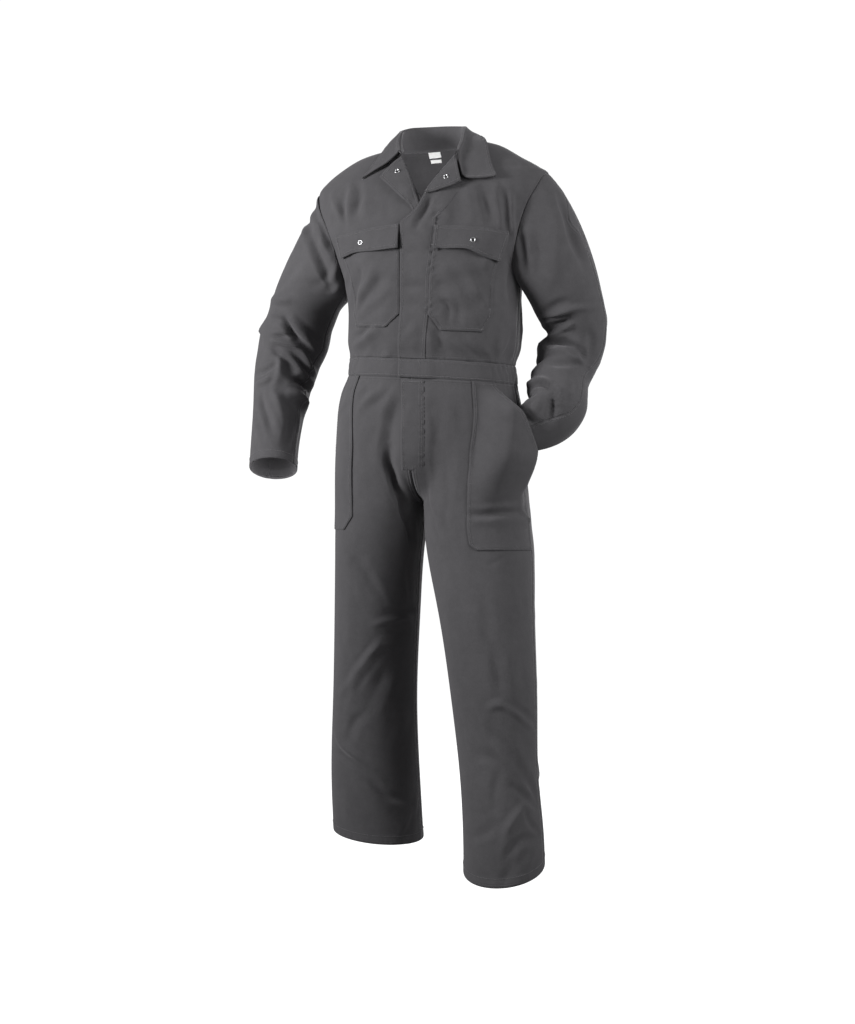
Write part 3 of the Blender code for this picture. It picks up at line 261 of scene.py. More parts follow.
def leg(side, psi, z):
    """psi 0 inner line, 0.25 front, 0.5 outer side, 0.75 behind, 1 inner again."""
    psi, z = np.broadcast_arrays(np.asarray(psi, float), np.asarray(z, float))
    T = LEG[side]
    a = 2*pi*psi
    n = T("power", z)
    c, s = np.cos(a), np.sin(a)
    lx = T("cx", z) - side*np.sign(c)*np.abs(c)**(2/n)*T("width", z)
    ly = T("cy", z) - np.sign(s)*np.abs(s)**(2/n)*T("deep", z)
    hx, hy = superring(side*180*psi, HIPS("width", z), HIPS("front", z), HIPS("back", z),
                       HIPS("power", z))
    tilt = HIPS("tilt", z)*hx
    hx, hy = yawed(hx, hy, HIPS("yaw", z))
    hx = hx + HIPS("cx", z)
    yaw = np.radians(HIPS("yaw", z))
    own = -np.where(psi < 0.5, -HIPS("front", z), HIPS("back", z))*np.sin(yaw) + HIPS("cx", z)
    mid = own + (MID_X("x", z) - own)*smooth((-z - 0.463)/0.12)
    d = np.minimum(psi, 1 - psi)
    hx = hx + (mid - own)*np.exp(-(d/0.06)**2)
    turns = np.where(psi < 0.5, RISE_FRONT, RISE_BACK)
    t = np.clip((turns - z)/(turns - CROTCH), 0, 1)
    deepening = 1 - np.sqrt(np.clip(1 - t*t, 0, 1))       # the U of the rise
    even = smooth((-z - 0.500)/0.30)
    m = smooth(d/0.14)
    w = (1 - m)*deepening + m*even
    px = (1-w)*hx + w*lx
    py = (1-w)*hy + w*ly
    pz = z + tilt*(1-w)
    px = np.where((z >= CROTCH) & (side*(px - mid) < 0), mid, px)
    return np.stack([px, py, pz], -1)


PHI_LOW = (180, 160, 140, 120, 100, 80)       # armhole samples, below the chest line
PHI_UP = (60, 40, 20, 0)                      # and above it
SEAM_RUNS = (0.395, 0.412, 0.440, 0.478, 0.525, 0.580)   # shoulder seam knots
ROW_NAMES = ("middle", "pocket", "side")
BODICE = {   # run of each row at the middle, at the pocket's outer edge, at the side
 +1: [(0.038, 0.038, 0.038), (0.065, 0.065, 0.065), (0.092, 0.092, 0.092),
      (0.122, 0.122, 0.122), (0.150, 0.150, 0.155), (0.175, 0.172, 0.188),
      (0.198, 0.188, None), (0.222, 0.203, None), (0.247, 0.219, None),
      (0.290, 0.270, None), (0.306, 0.298, None)],
 -1: [(0.038, 0.038, 0.038), (0.070, 0.070, 0.068), (0.097, 0.100, 0.097),
      (0.124, 0.127, 0.127), (0.150, 0.152, 0.155), (0.178, 0.178, 0.188),
      (0.203, 0.202, None), (0.228, 0.226, None), (0.252, 0.250, None),
      (0.302, 0.300, None), (0.312, 0.318, None)],
}
TURNS = {+1: [EDGE_TURN, 0, 8, 16, 28, 40, 47, 54], -1: [UNDER_TURN, 0, 7, 16, 28, 39, 45, 51]}
NECKLINE = {   # the front neckline: how far along, turn, run
 +1: Table(("t", "turn", "run"), [(0, -6.5, 0.306), (0.15, -1, 0.326), (0.32, 3, 0.361),
      (0.52, 12, 0.420), (0.68, 21, 0.468), (0.86, 48, 0.540), (1, 90, 0.580)]),
 -1: Table(("t", "turn", "run"), [(0, -5, 0.312), (0.15, -3, 0.335), (0.35, 2, 0.380),
      (0.54, 8, 0.430), (0.70, 16, 0.490), (0.86, 46, 0.548), (1, 90, 0.580)]),
}



LEG_ROWS = [   # height on the inner line (rise, then inseam), height at the side
 (-0.463, -0.463), (-0.540, -0.540), (-0.600, -0.600), (-0.645, -0.640), (-0.672, -0.680),
 (-0.692, -0.720), (-0.705, -0.760), (-0.745, -0.800), (-0.800, -0.845), (-0.870, -0.900),
 (-0.950, -0.970), (-1.030, -1.040), (-1.110, -1.110), (-1.180, -1.180), (-1.240, -1.240),
 (-1.300, -1.300), (-1.350, -1.350), (-1.400, -1.400)]
PATCH_TURN = {   # the hip pocket's inner edge on its leg
 +1: Table(("z", "psi"), [(-0.463, 0.2222), (-0.585, 0.225), (-0.65, 0.243), (-0.70, 0.260),
      (-0.80, 0.270), (-1.00, 0.257), (-1.45, 0.25)]),
 -1: Table(("z", "psi"), [(-0.463, 0.2222), (-0.585, 0.253), (-0.66, 0.275), (-0.73, 0.288),
      (-0.76, 0.290), (-1.00, 0.262), (-1.45, 0.25)]),
}


def hem_drop(side, psi):
    mid, front, inside = HEM[side]
    return mid - front*np.sin(2*pi*psi) - inside*np.cos(2*pi*psi)



BULGE = 0.056           # the left pocket stands this far off round the sleeve end


def pocket_bulge(psi, z):
    a = smooth((psi - 0.238)/0.105)*(1 - smooth((psi - 0.428)/0.066))
    b = smooth((-z - 0.463)/0.075)*(1 - smooth((-z - 0.605)/0.140))
    return BULGE*a*b



SEAMS = {   # turn of the back seam and of the under seam along the sleeve
 +1: Table(("along", "behind", "under"), [(0, 340, 200), (0.06, 365, 200), (0.10, 388, 200),
      (0.16, 372, 200), (0.24, 364, 200), (0.34, 366, 200), (0.42, 376, 200),
      (0.50, 368, 200), (0.61, 366, 200)]),
 -1: Table(("along", "behind", "under"), [(0, 300, 160), (0.10, 300, 162), (0.30, 300, 164),
      (0.60, 300, 166)]),
}

LAPEL_NAMES = ("t", "roll_x", "roll_z", "edge_x", "edge_z", "stand")
LAPEL = {   # roll line and outer edge on the chest, and how far the edge stands off
 -1: Table(LAPEL_NAMES, [(0.00, 0.0101, -0.1133, -0.0016, -0.1303, 0.0000),
      (0.50, -0.0064, -0.0771, -0.0292, -0.1070, 0.0035),
      (0.85, -0.0274, -0.0399, -0.0589, -0.0815, 0.0045),
      (1.00, -0.0367, -0.0224, -0.0736, -0.0694, 0.0045)]),
 +1: Table(LAPEL_NAMES, [(0.00, 0.0239, -0.1033, 0.0280, -0.1051, 0.0015),
      (0.20, 0.0335, -0.0880, 0.0431, -0.1036, 0.0030),
      (0.40, 0.0432, -0.0733, 0.0598, -0.0999, 0.0045),
      (0.70, 0.0576, -0.0506, 0.0779, -0.0945, 0.0060),
      (1.00, 0.0718, -0.0276, 0.0950, -0.0861, 0.0060)]),
}



COLLAR_NAMES = ("t", "base_x", "base_y", "base_z", "fold_x", "fold_y", "fold_z",
                "edge_x", "edge_y", "edge_z", "sag")
COLLAR = Table(COLLAR_NAMES, [
 (0.00, -0.0350, -0.0775, -0.0205, -0.0360, -0.0790, -0.0160, -0.1171, -0.0850, -0.0656, 0.0100),
 (0.07, -0.0411, -0.0520, -0.0079, -0.0455, -0.0550,  0.0077, -0.1009, -0.0715, -0.0397, 0.0060),
 (0.15, -0.0600, -0.0250,  0.0060, -0.0518, -0.0260,  0.0279, -0.0858, -0.0455, -0.0077, 0.0040),
 (0.26, -0.0690,  0.0050,  0.0100, -0.0598,  0.0070,  0.0388, -0.0865,  0.0080,  0.0100, 0.0030),
 (0.38, -0.0510,  0.0400,  0.0130, -0.0480,  0.0420,  0.0490, -0.0650,  0.0600,  0.0140, 0.0000),
 (0.50,  0.0000,  0.0600,  0.0165,  0.0001,  0.0600,  0.0519,  0.0000,  0.0860,  0.0170, 0.0000),
 (0.62,  0.0520,  0.0420,  0.0190,  0.0477,  0.0440,  0.0470,  0.0690,  0.0620,  0.0220, 0.0000),
 (0.74,  0.0730,  0.0050,  0.0210,  0.0662,  0.0080,  0.0400,  0.1050,  0.0100,  0.0190, 0.0050),
 (0.85,  0.0740, -0.0280,  0.0130,  0.0743, -0.0290,  0.0205,  0.1290, -0.0400,  0.0010, 0.0080),
 (0.93,  0.0745, -0.0560, -0.0065,  0.0779, -0.0575, -0.0009,  0.1459, -0.0670, -0.0429, 0.0140),
 (1.00,  0.0738, -0.0765, -0.0245,  0.0758, -0.0785, -0.0210,  0.1632, -0.0880, -0.0721, 0.0300)])


def collar(v, t):
    """v 0 at the neck seam, 0.42 at the fold, 1 at the leaf's edge."""
    v, t = np.broadcast_arrays(np.asarray(v, float), np.asarray(t, float))
    b = np.stack([COLLAR("base_" + n, t) for n in "xyz"], -1)
    f = np.stack([COLLAR("fold_" + n, t) for n in "xyz"], -1)
    e = np.stack([COLLAR("edge_" + n, t) for n in "xyz"], -1)
    rise = unit(f - b)
    out = unit((e - b)*np.array([1, 1, 0.0]))
    # stand: straight; roll: a half turn of 4 mm; leaf: slightly full
    q = np.clip(v/0.36, 0, 1)[..., None]
    stand = b + (f - b)*q
    a = (np.clip((v - 0.36)/0.12, 0, 1)*pi)[..., None]
    r = 0.0035
    roll = f + out*r*(1 - np.cos(a)) + rise*r*np.sin(a)
    w = np.clip((v - 0.48)/0.52, 0, 1)[..., None]
    start = f + out*2*r
    leaf = start + (e - start)*w + (unit(np.cross(np.cross(e - start, out), e - start)) * 0.004
                                    * np.sin(pi*w))
    droop = 1 - np.abs(w - 0.32)**1.5/np.where(w < 0.32, 0.32, 0.68)**1.5
    leaf = leaf + np.array([0, -0.45, -1.0])*droop*COLLAR("sag", t)[..., None]
    return np.where(v[..., None] < 0.36, stand, np.where(v[..., None] < 0.48, roll, leaf))



FLY = [   # height, x of the two edges, how far it stands off the rise
 (-0.4665, -0.0230, 0.0260, 0.0050), (-0.500, -0.0220, 0.0270, 0.0050),
 (-0.540, -0.0220, 0.0270, 0.0050), (-0.580, -0.0230, 0.0255, 0.0050),
 (-0.615, -0.0255, 0.0225, 0.0055), (-0.645, -0.0290, 0.0190, 0.0065)]
def normals(surface, a, b, ea, eb, flip):
    n = np.cross(surface(a + ea, b) - surface(a - ea, b), surface(a, b + eb) - surface(a, b - eb))
    return unit(n) * flip


# ------------------------------------------------------- noise without chance
_g = np.random.default_rng(20)
WAVES = [(_g.normal(size=3), _g.uniform(0, 2*pi)) for _ in range(60)]


def wobble(P, size, seed):
    """Smooth noise of about -1..1 whose bumps are about `size` metres apart."""
    out = 0
    for k in range(7):
        d, ph = WAVES[(seed*7 + k) % 60]
        d = d/np.linalg.norm(d)*(0.75 + 0.09*k)
        out = out + np.sin((P @ d)*2*pi/size + ph + 1.7*k)
    return out/3.2


# -------------------------------------------------------------------- folds
# A row per fold: the form it lies on, its start, middle and end as (turn, run),
# half-width, height (minus = trough), which flank is steeper (-1..1) and the
# pieces' families that it moves: T bodice, W waistband, L and R trouser legs,
# S and Z left and right sleeve.
# Turns are degrees on trunk and sleeves, 0-1 on legs; leg runs are heights.
FOLD_NAMES = ("on", "turn0", "run0", "turn1", "run1", "turn2", "run2", "half", "height", "steep",
              "moves")
FOLDS = [
 # what the front shows
 ("trunk",  -39.5,  0.408,  -36.5,  0.368,  -40.0,  0.321, 0.0080,  0.0040,  0.3, "T"),
 ("trunk",  -42.0,  0.385,  -40.5,  0.353,  -41.0,  0.317, 0.0080, -0.0045,  0.0, "T"),
 ("trunk",  -54.5,  0.390,  -47.0,  0.360,  -44.0,  0.327, 0.0070,  0.0035,  0.2, "TZ"),
 ("trunk",  -35.0,  0.400,  -30.5,  0.359,  -33.5,  0.326, 0.0100, -0.0055,  0.0, "T"),
 ("trunk",  -25.5,  0.369,  -24.5,  0.344,  -24.0,  0.317, 0.0120,  0.0035,  0.0, "T"),
 ("trunk",  -15.0,  0.363,  -14.0,  0.339,  -13.0,  0.310, 0.0120, -0.0020,  0.0, "T"),
 ("trunk",  -32.5,  0.235,  -41.0,  0.188,  -53.0,  0.132, 0.0120, -0.0060, -0.3, "T"),
 ("trunk",  -21.5,  0.231,  -31.0,  0.188,  -45.5,  0.140, 0.0080,  0.0042,  0.3, "T"),
 ("trunk",  -16.0,  0.209,  -26.5,  0.179,  -41.5,  0.141, 0.0090, -0.0038,  0.0, "T"),
 ("trunk",  -12.5,  0.183,  -23.5,  0.153,  -44.0,  0.112, 0.0090,  0.0038,  0.2, "T"),
 ("trunk",  -52.0,  0.228,  -64.5,  0.188,  -60.0,  0.147, 0.0070,  0.0030,  0.0, "T"),
 ("trunk",  -18.5,  0.097,  -31.5,  0.080,  -55.0,  0.058, 0.0080,  0.0050,  0.4, "T"),
 ("trunk",  -27.5,  0.099,  -40.0,  0.083,  -55.0,  0.071, 0.0080, -0.0045,  0.0, "T"),
 ("trunk",  -12.0,  0.076,  -23.5,  0.058,  -45.5,  0.039, 0.0120, -0.0025,  0.0, "T"),
 ("trunk",  -27.0,  0.058,  -33.0,  0.044,  -39.5,  0.028, 0.0070,  0.0025,  0.0, "T"),
 ("trunk",  -12.5,  0.052,  -15.5,  0.041,  -22.0,  0.026, 0.0080,  0.0020,  0.0, "T"),
 ("trunk",   -4.0,  0.185,    0.0,  0.176,    6.0,  0.173, 0.0080, -0.0030,  0.3, "T"),
 ("trunk",   -5.0,  0.237,   -1.0,  0.244,    2.5,  0.243, 0.0080, -0.0022,  0.0, "T"),
 ("trunk",   -4.5,  0.148,   -0.5,  0.141,    3.0,  0.144, 0.0080, -0.0020,  0.0, "T"),
 ("trunk",    4.5,  0.115,    1.0,  0.092,   -3.0,  0.068, 0.0090,  0.0022,  0.0, "T"),
 ("trunk",    6.5,  0.092,    5.5,  0.064,    7.0,  0.035, 0.0080, -0.0022,  0.0, "T"),
 ("trunk",   -1.5,  0.315,    1.0,  0.302,    4.5,  0.283, 0.0080,  0.0020,  0.0, "T"),
 ("trunk",    6.0,  0.359,    3.0,  0.329,    0.0,  0.286, 0.0080, -0.0110,  0.0, "T"),
 ("trunk",   18.5,  0.366,   19.0,  0.327,   20.5,  0.286, 0.0100, -0.0028,  0.0, "T"),
 ("trunk",   21.5,  0.365,   23.5,  0.324,   25.0,  0.285, 0.0100,  0.0026,  0.0, "T"),
 ("trunk",   10.0,  0.344,   12.5,  0.315,   12.0,  0.289, 0.0100,  0.0026,  0.0, "T"),
 ("trunk",   29.5,  0.375,   32.5,  0.329,   38.5,  0.282, 0.0110, -0.0085,  0.3, "T"),
 ("trunk",   35.5,  0.369,   39.0,  0.330,   45.0,  0.285, 0.0080,  0.0060,  0.3, "T"),
 ("trunk",   41.0,  0.346,   45.0,  0.307,   53.5,  0.263, 0.0080, -0.0060,  0.2, "T"),
 ("trunk",   46.5,  0.353,   50.5,  0.310,   60.0,  0.257, 0.0070,  0.0050,  0.0, "TS"),
 ("trunk",   59.5,  0.240,   73.0,  0.180,   74.5,  0.118, 0.0090, -0.0040,  0.0, "T"),
 ("trunk",   80.5,  0.092,   77.0,  0.064,   75.0,  0.033, 0.0090, -0.0050,  0.2, "T"),
 ("trunk",   67.0,  0.090,   65.0,  0.065,   66.0,  0.036, 0.0080,  0.0035,  0.0, "T"),
 ("trunk",   13.0,  0.221,   17.5,  0.201,   18.5,  0.172, 0.0100,  0.0035,  0.0, "T"),
 ("trunk",   15.0,  0.155,   21.5,  0.150,   25.0,  0.127, 0.0070,  0.0040,  0.3, "T"),
 ("trunk",   13.5,  0.142,   19.0,  0.138,   21.5,  0.112, 0.0060, -0.0038,  0.0, "T"),
 ("trunk",   13.0,  0.127,   16.5,  0.116,   20.0,  0.099, 0.0060,  0.0035,  0.0, "T"),
 ("trunk",   25.0,  0.144,   28.0,  0.124,   26.5,  0.102, 0.0080, -0.0030,  0.0, "T"),
 ("trunk",   25.0,  0.201,   34.0,  0.157,   47.5,  0.115, 0.0100, -0.0042,  0.2, "T"),
 ("trunk",   30.5,  0.208,   41.5,  0.167,   52.5,  0.129, 0.0100,  0.0030,  0.0, "T"),
 ("trunk",   49.5,  0.140,   54.0,  0.138,   60.0,  0.141, 0.0050, -0.0018,  0.0, "T"),
 ("trunk",   57.0,  0.177,   56.0,  0.151,   53.0,  0.119, 0.0070,  0.0025,  0.0, "T"),
 ("trunk",   13.5,  0.176,   16.5,  0.179,   21.0,  0.172, 0.0050, -0.0022,  0.0, "T"),
 ("trunk",   13.5,  0.100,   18.0,  0.071,   24.5,  0.042, 0.0090, -0.0035,  0.0, "T"),
 ("trunk",    8.0,  0.108,   11.5,  0.070,   13.5,  0.036, 0.0080,  0.0026,  0.0, "T"),
 ("trunk",   20.5,  0.084,   29.5,  0.064,   39.5,  0.036, 0.0080,  0.0035,  0.2, "T"),
 ("trunk",   26.5,  0.086,   38.5,  0.062,   52.0,  0.038, 0.0090, -0.0036,  0.0, "T"),
 ("trunk",   34.5,  0.083,   46.5,  0.062,   62.5,  0.038, 0.0080,  0.0026,  0.0, "T"),
 ("trunk",   63.0,  0.121,   58.0,  0.089,   54.5,  0.057, 0.0100, -0.0025,  0.0, "T"),
 ("leg-1",   0.090,  -0.476,   0.130,  -0.502,   0.205,  -0.535, 0.0080,  0.0042,  0.3, "R"),
 ("leg-1",   0.065,  -0.479,   0.098,  -0.509,   0.175,  -0.548, 0.0090, -0.0038,  0.0, "R"),
 ("leg-1",   0.040,  -0.481,   0.062,  -0.512,   0.122,  -0.558, 0.0090,  0.0036,  0.2, "R"),
 ("leg-1",   0.140,  -0.478,   0.160,  -0.494,   0.203,  -0.514, 0.0080, -0.0030,  0.0, "R"),
 ("leg-1",   0.263,  -0.548,   0.263,  -0.605,   0.297,  -0.662, 0.0100, -0.0025,  0.0, "R"),
 ("leg-1",   0.235,  -0.662,   0.217,  -0.682,   0.195,  -0.706, 0.0120, -0.0018,  0.0, "R"),
 ("leg-1",   0.280,  -0.510,   0.312,  -0.525,   0.365,  -0.543, 0.0080,  0.0030,  0.0, "R"),
 ("leg-1",   0.028,  -0.500,   0.058,  -0.556,   0.095,  -0.628, 0.0140, -0.0110,  0.3, "R"),
 ("leg-1",   0.075,  -0.605,   0.103,  -0.682,   0.065,  -0.792, 0.0085, -0.0240,  0.5, "R"),
 ("leg-1",   0.103,  -0.566,   0.143,  -0.642,   0.143,  -0.740, 0.0140,  0.0050,  0.0, "R"),
 ("leg-1",   0.028,  -0.642,   0.072,  -0.701,   0.060,  -0.761, 0.0080,  0.0050,  0.0, "R"),
 ("leg-1",   0.045,  -0.682,   0.018,  -0.685,   0.015,  -0.693, 0.0040, -0.0025,  0.0, "RL"),
 ("leg+1",   0.052,  -0.489,   0.052,  -0.554,   0.055,  -0.642, 0.0060,  0.0032,  0.2, "LR"),
 ("leg+1",   0.070,  -0.494,   0.088,  -0.545,   0.075,  -0.607, 0.0110, -0.0042,  0.0, "L"),
 ("leg+1",   0.120,  -0.484,   0.140,  -0.527,   0.165,  -0.582, 0.0120,  0.0028,  0.0, "L"),
 ("leg+1",   0.155,  -0.499,   0.163,  -0.543,   0.195,  -0.595, 0.0100, -0.0026,  0.0, "L"),
 ("leg+1",   0.143,  -0.615,   0.177,  -0.678,   0.185,  -0.748, 0.0110, -0.0048,  0.2, "L"),
 ("leg+1",   0.060,  -0.623,   0.122,  -0.701,   0.203,  -0.789, 0.0090,  0.0048,  0.3, "L"),
 ("leg+1",   0.168,  -0.726,   0.212,  -0.770,   0.247,  -0.810, 0.0090, -0.0038,  0.0, "L"),
 ("leg+1",   0.228,  -0.779,   0.253,  -0.817,   0.278,  -0.876, 0.0140,  0.0030,  0.0, "L"),
 ("leg+1",   0.250,  -0.794,   0.278,  -0.827,   0.283,  -0.871, 0.0100, -0.0028,  0.0, "L"),
 ("leg+1",   0.025,  -0.698,   0.060,  -0.740,   0.113,  -0.796, 0.0080, -0.0030,  0.0, "L"),
 ("leg+1",   0.230,  -0.517,   0.245,  -0.551,   0.265,  -0.607, 0.0090,  0.0040,  0.3, "L"),
 ("leg+1",   0.270,  -0.500,   0.285,  -0.561,   0.302,  -0.642, 0.0120, -0.0026,  0.0, "L"),
 ("leg+1",   0.338,  -0.518,   0.372,  -0.580,   0.390,  -0.642, 0.0140,  0.0030,  0.0, "L"),
 ("leg+1",   0.565,  -0.641,   0.460,  -0.685,   0.357,  -0.708, 0.0100, -0.0075,  0.2, "L"),
 ("leg+1",   0.260,  -0.719,   0.323,  -0.719,   0.415,  -0.713, 0.0060,  0.0045,  0.3, "L"),
 ("leg+1",   0.258,  -0.729,   0.323,  -0.732,   0.420,  -0.727, 0.0060, -0.0080,  0.4, "L"),
 ("leg+1",   0.435,  -0.713,   0.465,  -0.726,   0.525,  -0.740, 0.0070,  0.0040,  0.0, "L"),
 ("leg+1",   0.273,  -0.662,   0.305,  -0.682,   0.335,  -0.701, 0.0100,  0.0025,  0.0, "L"),
 ("leg+1",   0.362,  -0.750,   0.395,  -0.770,   0.443,  -0.789, 0.0120, -0.0022,  0.0, "L"),
 ("leg+1",   0.310,  -0.830,   0.340,  -0.822,   0.380,  -0.812, 0.0050, -0.0020,  0.0, "L"),
 ("leg-1",   0.288,  -0.812,   0.247,  -0.850,   0.198,  -0.900, 0.0140, -0.0075,  0.2, "R"),
 ("leg-1",   0.242,  -0.812,   0.200,  -0.845,   0.138,  -0.880, 0.0120,  0.0030,  0.0, "R"),
 ("leg-1",   0.235,  -0.845,   0.205,  -0.876,   0.152,  -0.916, 0.0090, -0.0062,  0.2, "R"),
 ("leg-1",   0.170,  -0.876,   0.120,  -0.905,   0.040,  -0.929, 0.0120, -0.0048,  0.0, "R"),
 ("leg-1",   0.203,  -0.952,   0.135,  -0.944,   0.033,  -0.936, 0.0060,  0.0055,  0.4, "R"),
 ("leg-1",   0.175,  -0.925,   0.120,  -0.925,   0.035,  -0.923, 0.0080, -0.0050,  0.0, "R"),
 ("leg-1",   0.195,  -0.964,   0.135,  -0.967,   0.035,  -0.967, 0.0090, -0.0036,  0.0, "R"),
 ("leg-1",   0.173,  -0.977,   0.230,  -1.026,   0.350,  -1.089, 0.0090,  0.0085,  0.4, "R"),
 ("leg-1",   0.165,  -0.987,   0.118,  -0.990,   0.025,  -0.996, 0.0050,  0.0026,  0.0, "R"),
 ("leg-1",   0.133,  -1.004,   0.177,  -1.062,   0.245,  -1.135, 0.0160, -0.0065,  0.2, "R"),
 ("leg-1",   0.288,  -0.892,   0.247,  -0.925,   0.210,  -0.956, 0.0120, -0.0035,  0.0, "R"),
 ("leg-1",   0.320,  -0.900,   0.295,  -0.957,   0.305,  -1.014, 0.0120,  0.0030,  0.0, "R"),
 ("leg-1",   0.253,  -1.037,   0.285,  -1.083,   0.315,  -1.150, 0.0100,  0.0035,  0.0, "R"),
 ("leg-1",   0.105,  -1.104,   0.090,  -1.145,   0.113,  -1.195, 0.0140,  0.0040,  0.0, "R"),
 ("leg-1",   0.230,  -1.127,   0.278,  -1.159,   0.310,  -1.194, 0.0100, -0.0055,  0.2, "R"),
 ("leg-1",   0.103,  -0.804,   0.088,  -0.861,   0.075,  -0.913, 0.0070,  0.0028,  0.0, "R"),
 ("leg-1",   0.398,  -1.164,   0.325,  -1.197,   0.247,  -1.225, 0.0100,  0.0065,  0.3, "R"),
 ("leg-1",   0.405,  -1.208,   0.288,  -1.233,   0.210,  -1.277, 0.0090, -0.0080,  0.4, "R"),
 ("leg-1",   0.223,  -1.266,   0.170,  -1.298,   0.077,  -1.316, 0.0080, -0.0085,  0.4, "R"),
 ("leg-1",   0.320,  -1.182,   0.270,  -1.204,   0.212,  -1.221, 0.0080, -0.0035,  0.0, "R"),
 ("leg-1",   0.290,  -1.259,   0.225,  -1.298,   0.150,  -1.332, 0.0120,  0.0055,  0.2, "R"),
 ("leg-1",   0.037,  -1.324,   0.080,  -1.363,   0.128,  -1.396, 0.0080, -0.0060,  0.2, "R"),
 ("leg-1",   0.022,  -1.296,   0.048,  -1.336,   0.072,  -1.376, 0.0060,  0.0040,  0.0, "R"),
 ("leg-1",   0.295,  -1.310,   0.250,  -1.332,   0.225,  -1.365, 0.0140, -0.0025,  0.0, "R"),
 ("leg-1",   0.352,  -1.292,   0.323,  -1.323,   0.310,  -1.358, 0.0120,  0.0025,  0.0, "R"),
 ("leg+1",   0.288,  -0.887,   0.295,  -0.936,   0.297,  -0.985, 0.0110, -0.0038,  0.0, "L"),
 ("leg+1",   0.253,  -0.876,   0.258,  -0.918,   0.260,  -0.970, 0.0140,  0.0030,  0.0, "L"),
 ("leg+1",   0.297,  -0.970,   0.315,  -1.027,   0.320,  -1.093, 0.0130, -0.0075,  0.3, "L"),
 ("leg+1",   0.378,  -0.972,   0.372,  -1.024,   0.383,  -1.086, 0.0140,  0.0040,  0.0, "L"),
 ("leg+1",   0.280,  -1.109,   0.330,  -1.096,   0.463,  -1.145, 0.0080,  0.0075,  0.4, "L"),
 ("leg+1",   0.320,  -1.093,   0.372,  -1.101,   0.480,  -1.130, 0.0080, -0.0060,  0.0, "L"),
 ("leg+1",   0.280,  -1.115,   0.302,  -1.164,   0.390,  -1.210, 0.0100, -0.0068,  0.2, "L"),
 ("leg+1",   0.338,  -1.127,   0.375,  -1.173,   0.440,  -1.223, 0.0110,  0.0042,  0.0, "L"),
 ("leg+1",   0.390,  -1.207,   0.435,  -1.246,   0.492,  -1.290, 0.0090, -0.0055,  0.2, "L"),
 ("leg+1",   0.200,  -1.192,   0.260,  -1.192,   0.307,  -1.216, 0.0100, -0.0042,  0.0, "L"),
 ("leg+1",   0.307,  -1.213,   0.280,  -1.266,   0.295,  -1.305, 0.0090, -0.0048,  0.2, "L"),
 ("leg+1",   0.240,  -1.216,   0.233,  -1.257,   0.233,  -1.295, 0.0120,  0.0034,  0.0, "L"),
 ("leg+1",   0.335,  -1.246,   0.385,  -1.262,   0.478,  -1.296, 0.0080, -0.0072,  0.2, "L"),
 ("leg+1",   0.410,  -1.280,   0.343,  -1.306,   0.280,  -1.368, 0.0090,  0.0070,  0.3, "L"),
 ("leg+1",   0.398,  -1.288,   0.410,  -1.314,   0.475,  -1.341, 0.0070, -0.0055,  0.0, "L"),
 ("leg+1",   0.130,  -1.344,   0.228,  -1.332,   0.312,  -1.301, 0.0100, -0.0040,  0.0, "L"),
 ("leg+1",   0.482,  -1.349,   0.360,  -1.350,   0.290,  -1.394, 0.0090, -0.0060,  0.4, "L"),
 ("leg+1",   0.325,  -1.380,   0.310,  -1.404,   0.280,  -1.430, 0.0100, -0.0050,  0.0, "L"),
 ("leg+1",   0.427,  -1.360,   0.403,  -1.388,   0.357,  -1.420, 0.0100,  0.0045,  0.0, "L"),
 ("leg+1",   0.140,  -1.370,   0.175,  -1.389,   0.205,  -1.414, 0.0120,  0.0028,  0.0, "L"),
 ("leg+1",   0.177,  -1.086,   0.147,  -1.145,   0.165,  -1.200, 0.0140, -0.0022,  0.0, "L"),
 ("sleeve-1",  -25.0,  0.007,   64.0,  0.012,   71.0,  0.059, 0.0120,  0.0030,  0.0, "Z"),
 ("sleeve-1",   55.0,  0.021,   79.0,  0.009,  -72.0,  0.060, 0.0100, -0.0052,  0.0, "Z"),
 ("sleeve-1",  116.0,  0.000,  118.0,  0.065,  110.0,  0.137, 0.0080,  0.0055,  0.3, "Z"),
 ("sleeve-1",  -73.0,  0.065,  100.0,  0.071,   89.0,  0.141, 0.0110, -0.0090,  0.2, "Z"),
 ("sleeve-1",   14.0,  0.048,   34.0,  0.096,   27.0,  0.155, 0.0130,  0.0026,  0.0, "Z"),
 ("sleeve-1",   60.0,  0.123,   53.0,  0.167,   39.0,  0.221, 0.0100, -0.0030,  0.0, "Z"),
 ("sleeve-1",   23.0,  0.263,   59.0,  0.236,   81.0,  0.226, 0.0090,  0.0060,  0.3, "Z"),
 ("sleeve-1",   35.0,  0.287,   60.0,  0.272,   80.0,  0.275, 0.0065,  0.0060,  0.4, "Z"),
 ("sleeve-1",   78.0,  0.277,   99.0,  0.289,  144.0,  0.331, 0.0065, -0.0110,  0.0, "Z"),
 ("sleeve-1",   88.0,  0.262,  115.0,  0.281,  144.0,  0.307, 0.0075,  0.0070,  0.0, "Z"),
 ("sleeve-1",   61.0,  0.298,   76.0,  0.290,   97.0,  0.293, 0.0070,  0.0040,  0.0, "Z"),
 ("sleeve-1",   71.0,  0.325,   84.0,  0.311,  100.0,  0.299, 0.0045, -0.0065,  0.0, "Z"),
 ("sleeve-1",   75.0,  0.352,   92.0,  0.335,  121.0,  0.320, 0.0060,  0.0070,  0.2, "Z"),
 ("sleeve-1",   78.0,  0.367,   96.0,  0.385,  120.0,  0.396, 0.0070, -0.0090,  0.2, "Z"),
 ("sleeve-1",  113.0,  0.364,  140.0,  0.390,  174.0,  0.399, 0.0065, -0.0085,  0.0, "Z"),
 ("sleeve-1",  120.0,  0.341,  149.0,  0.381,  184.0,  0.391, 0.0060,  0.0060,  0.0, "Z"),
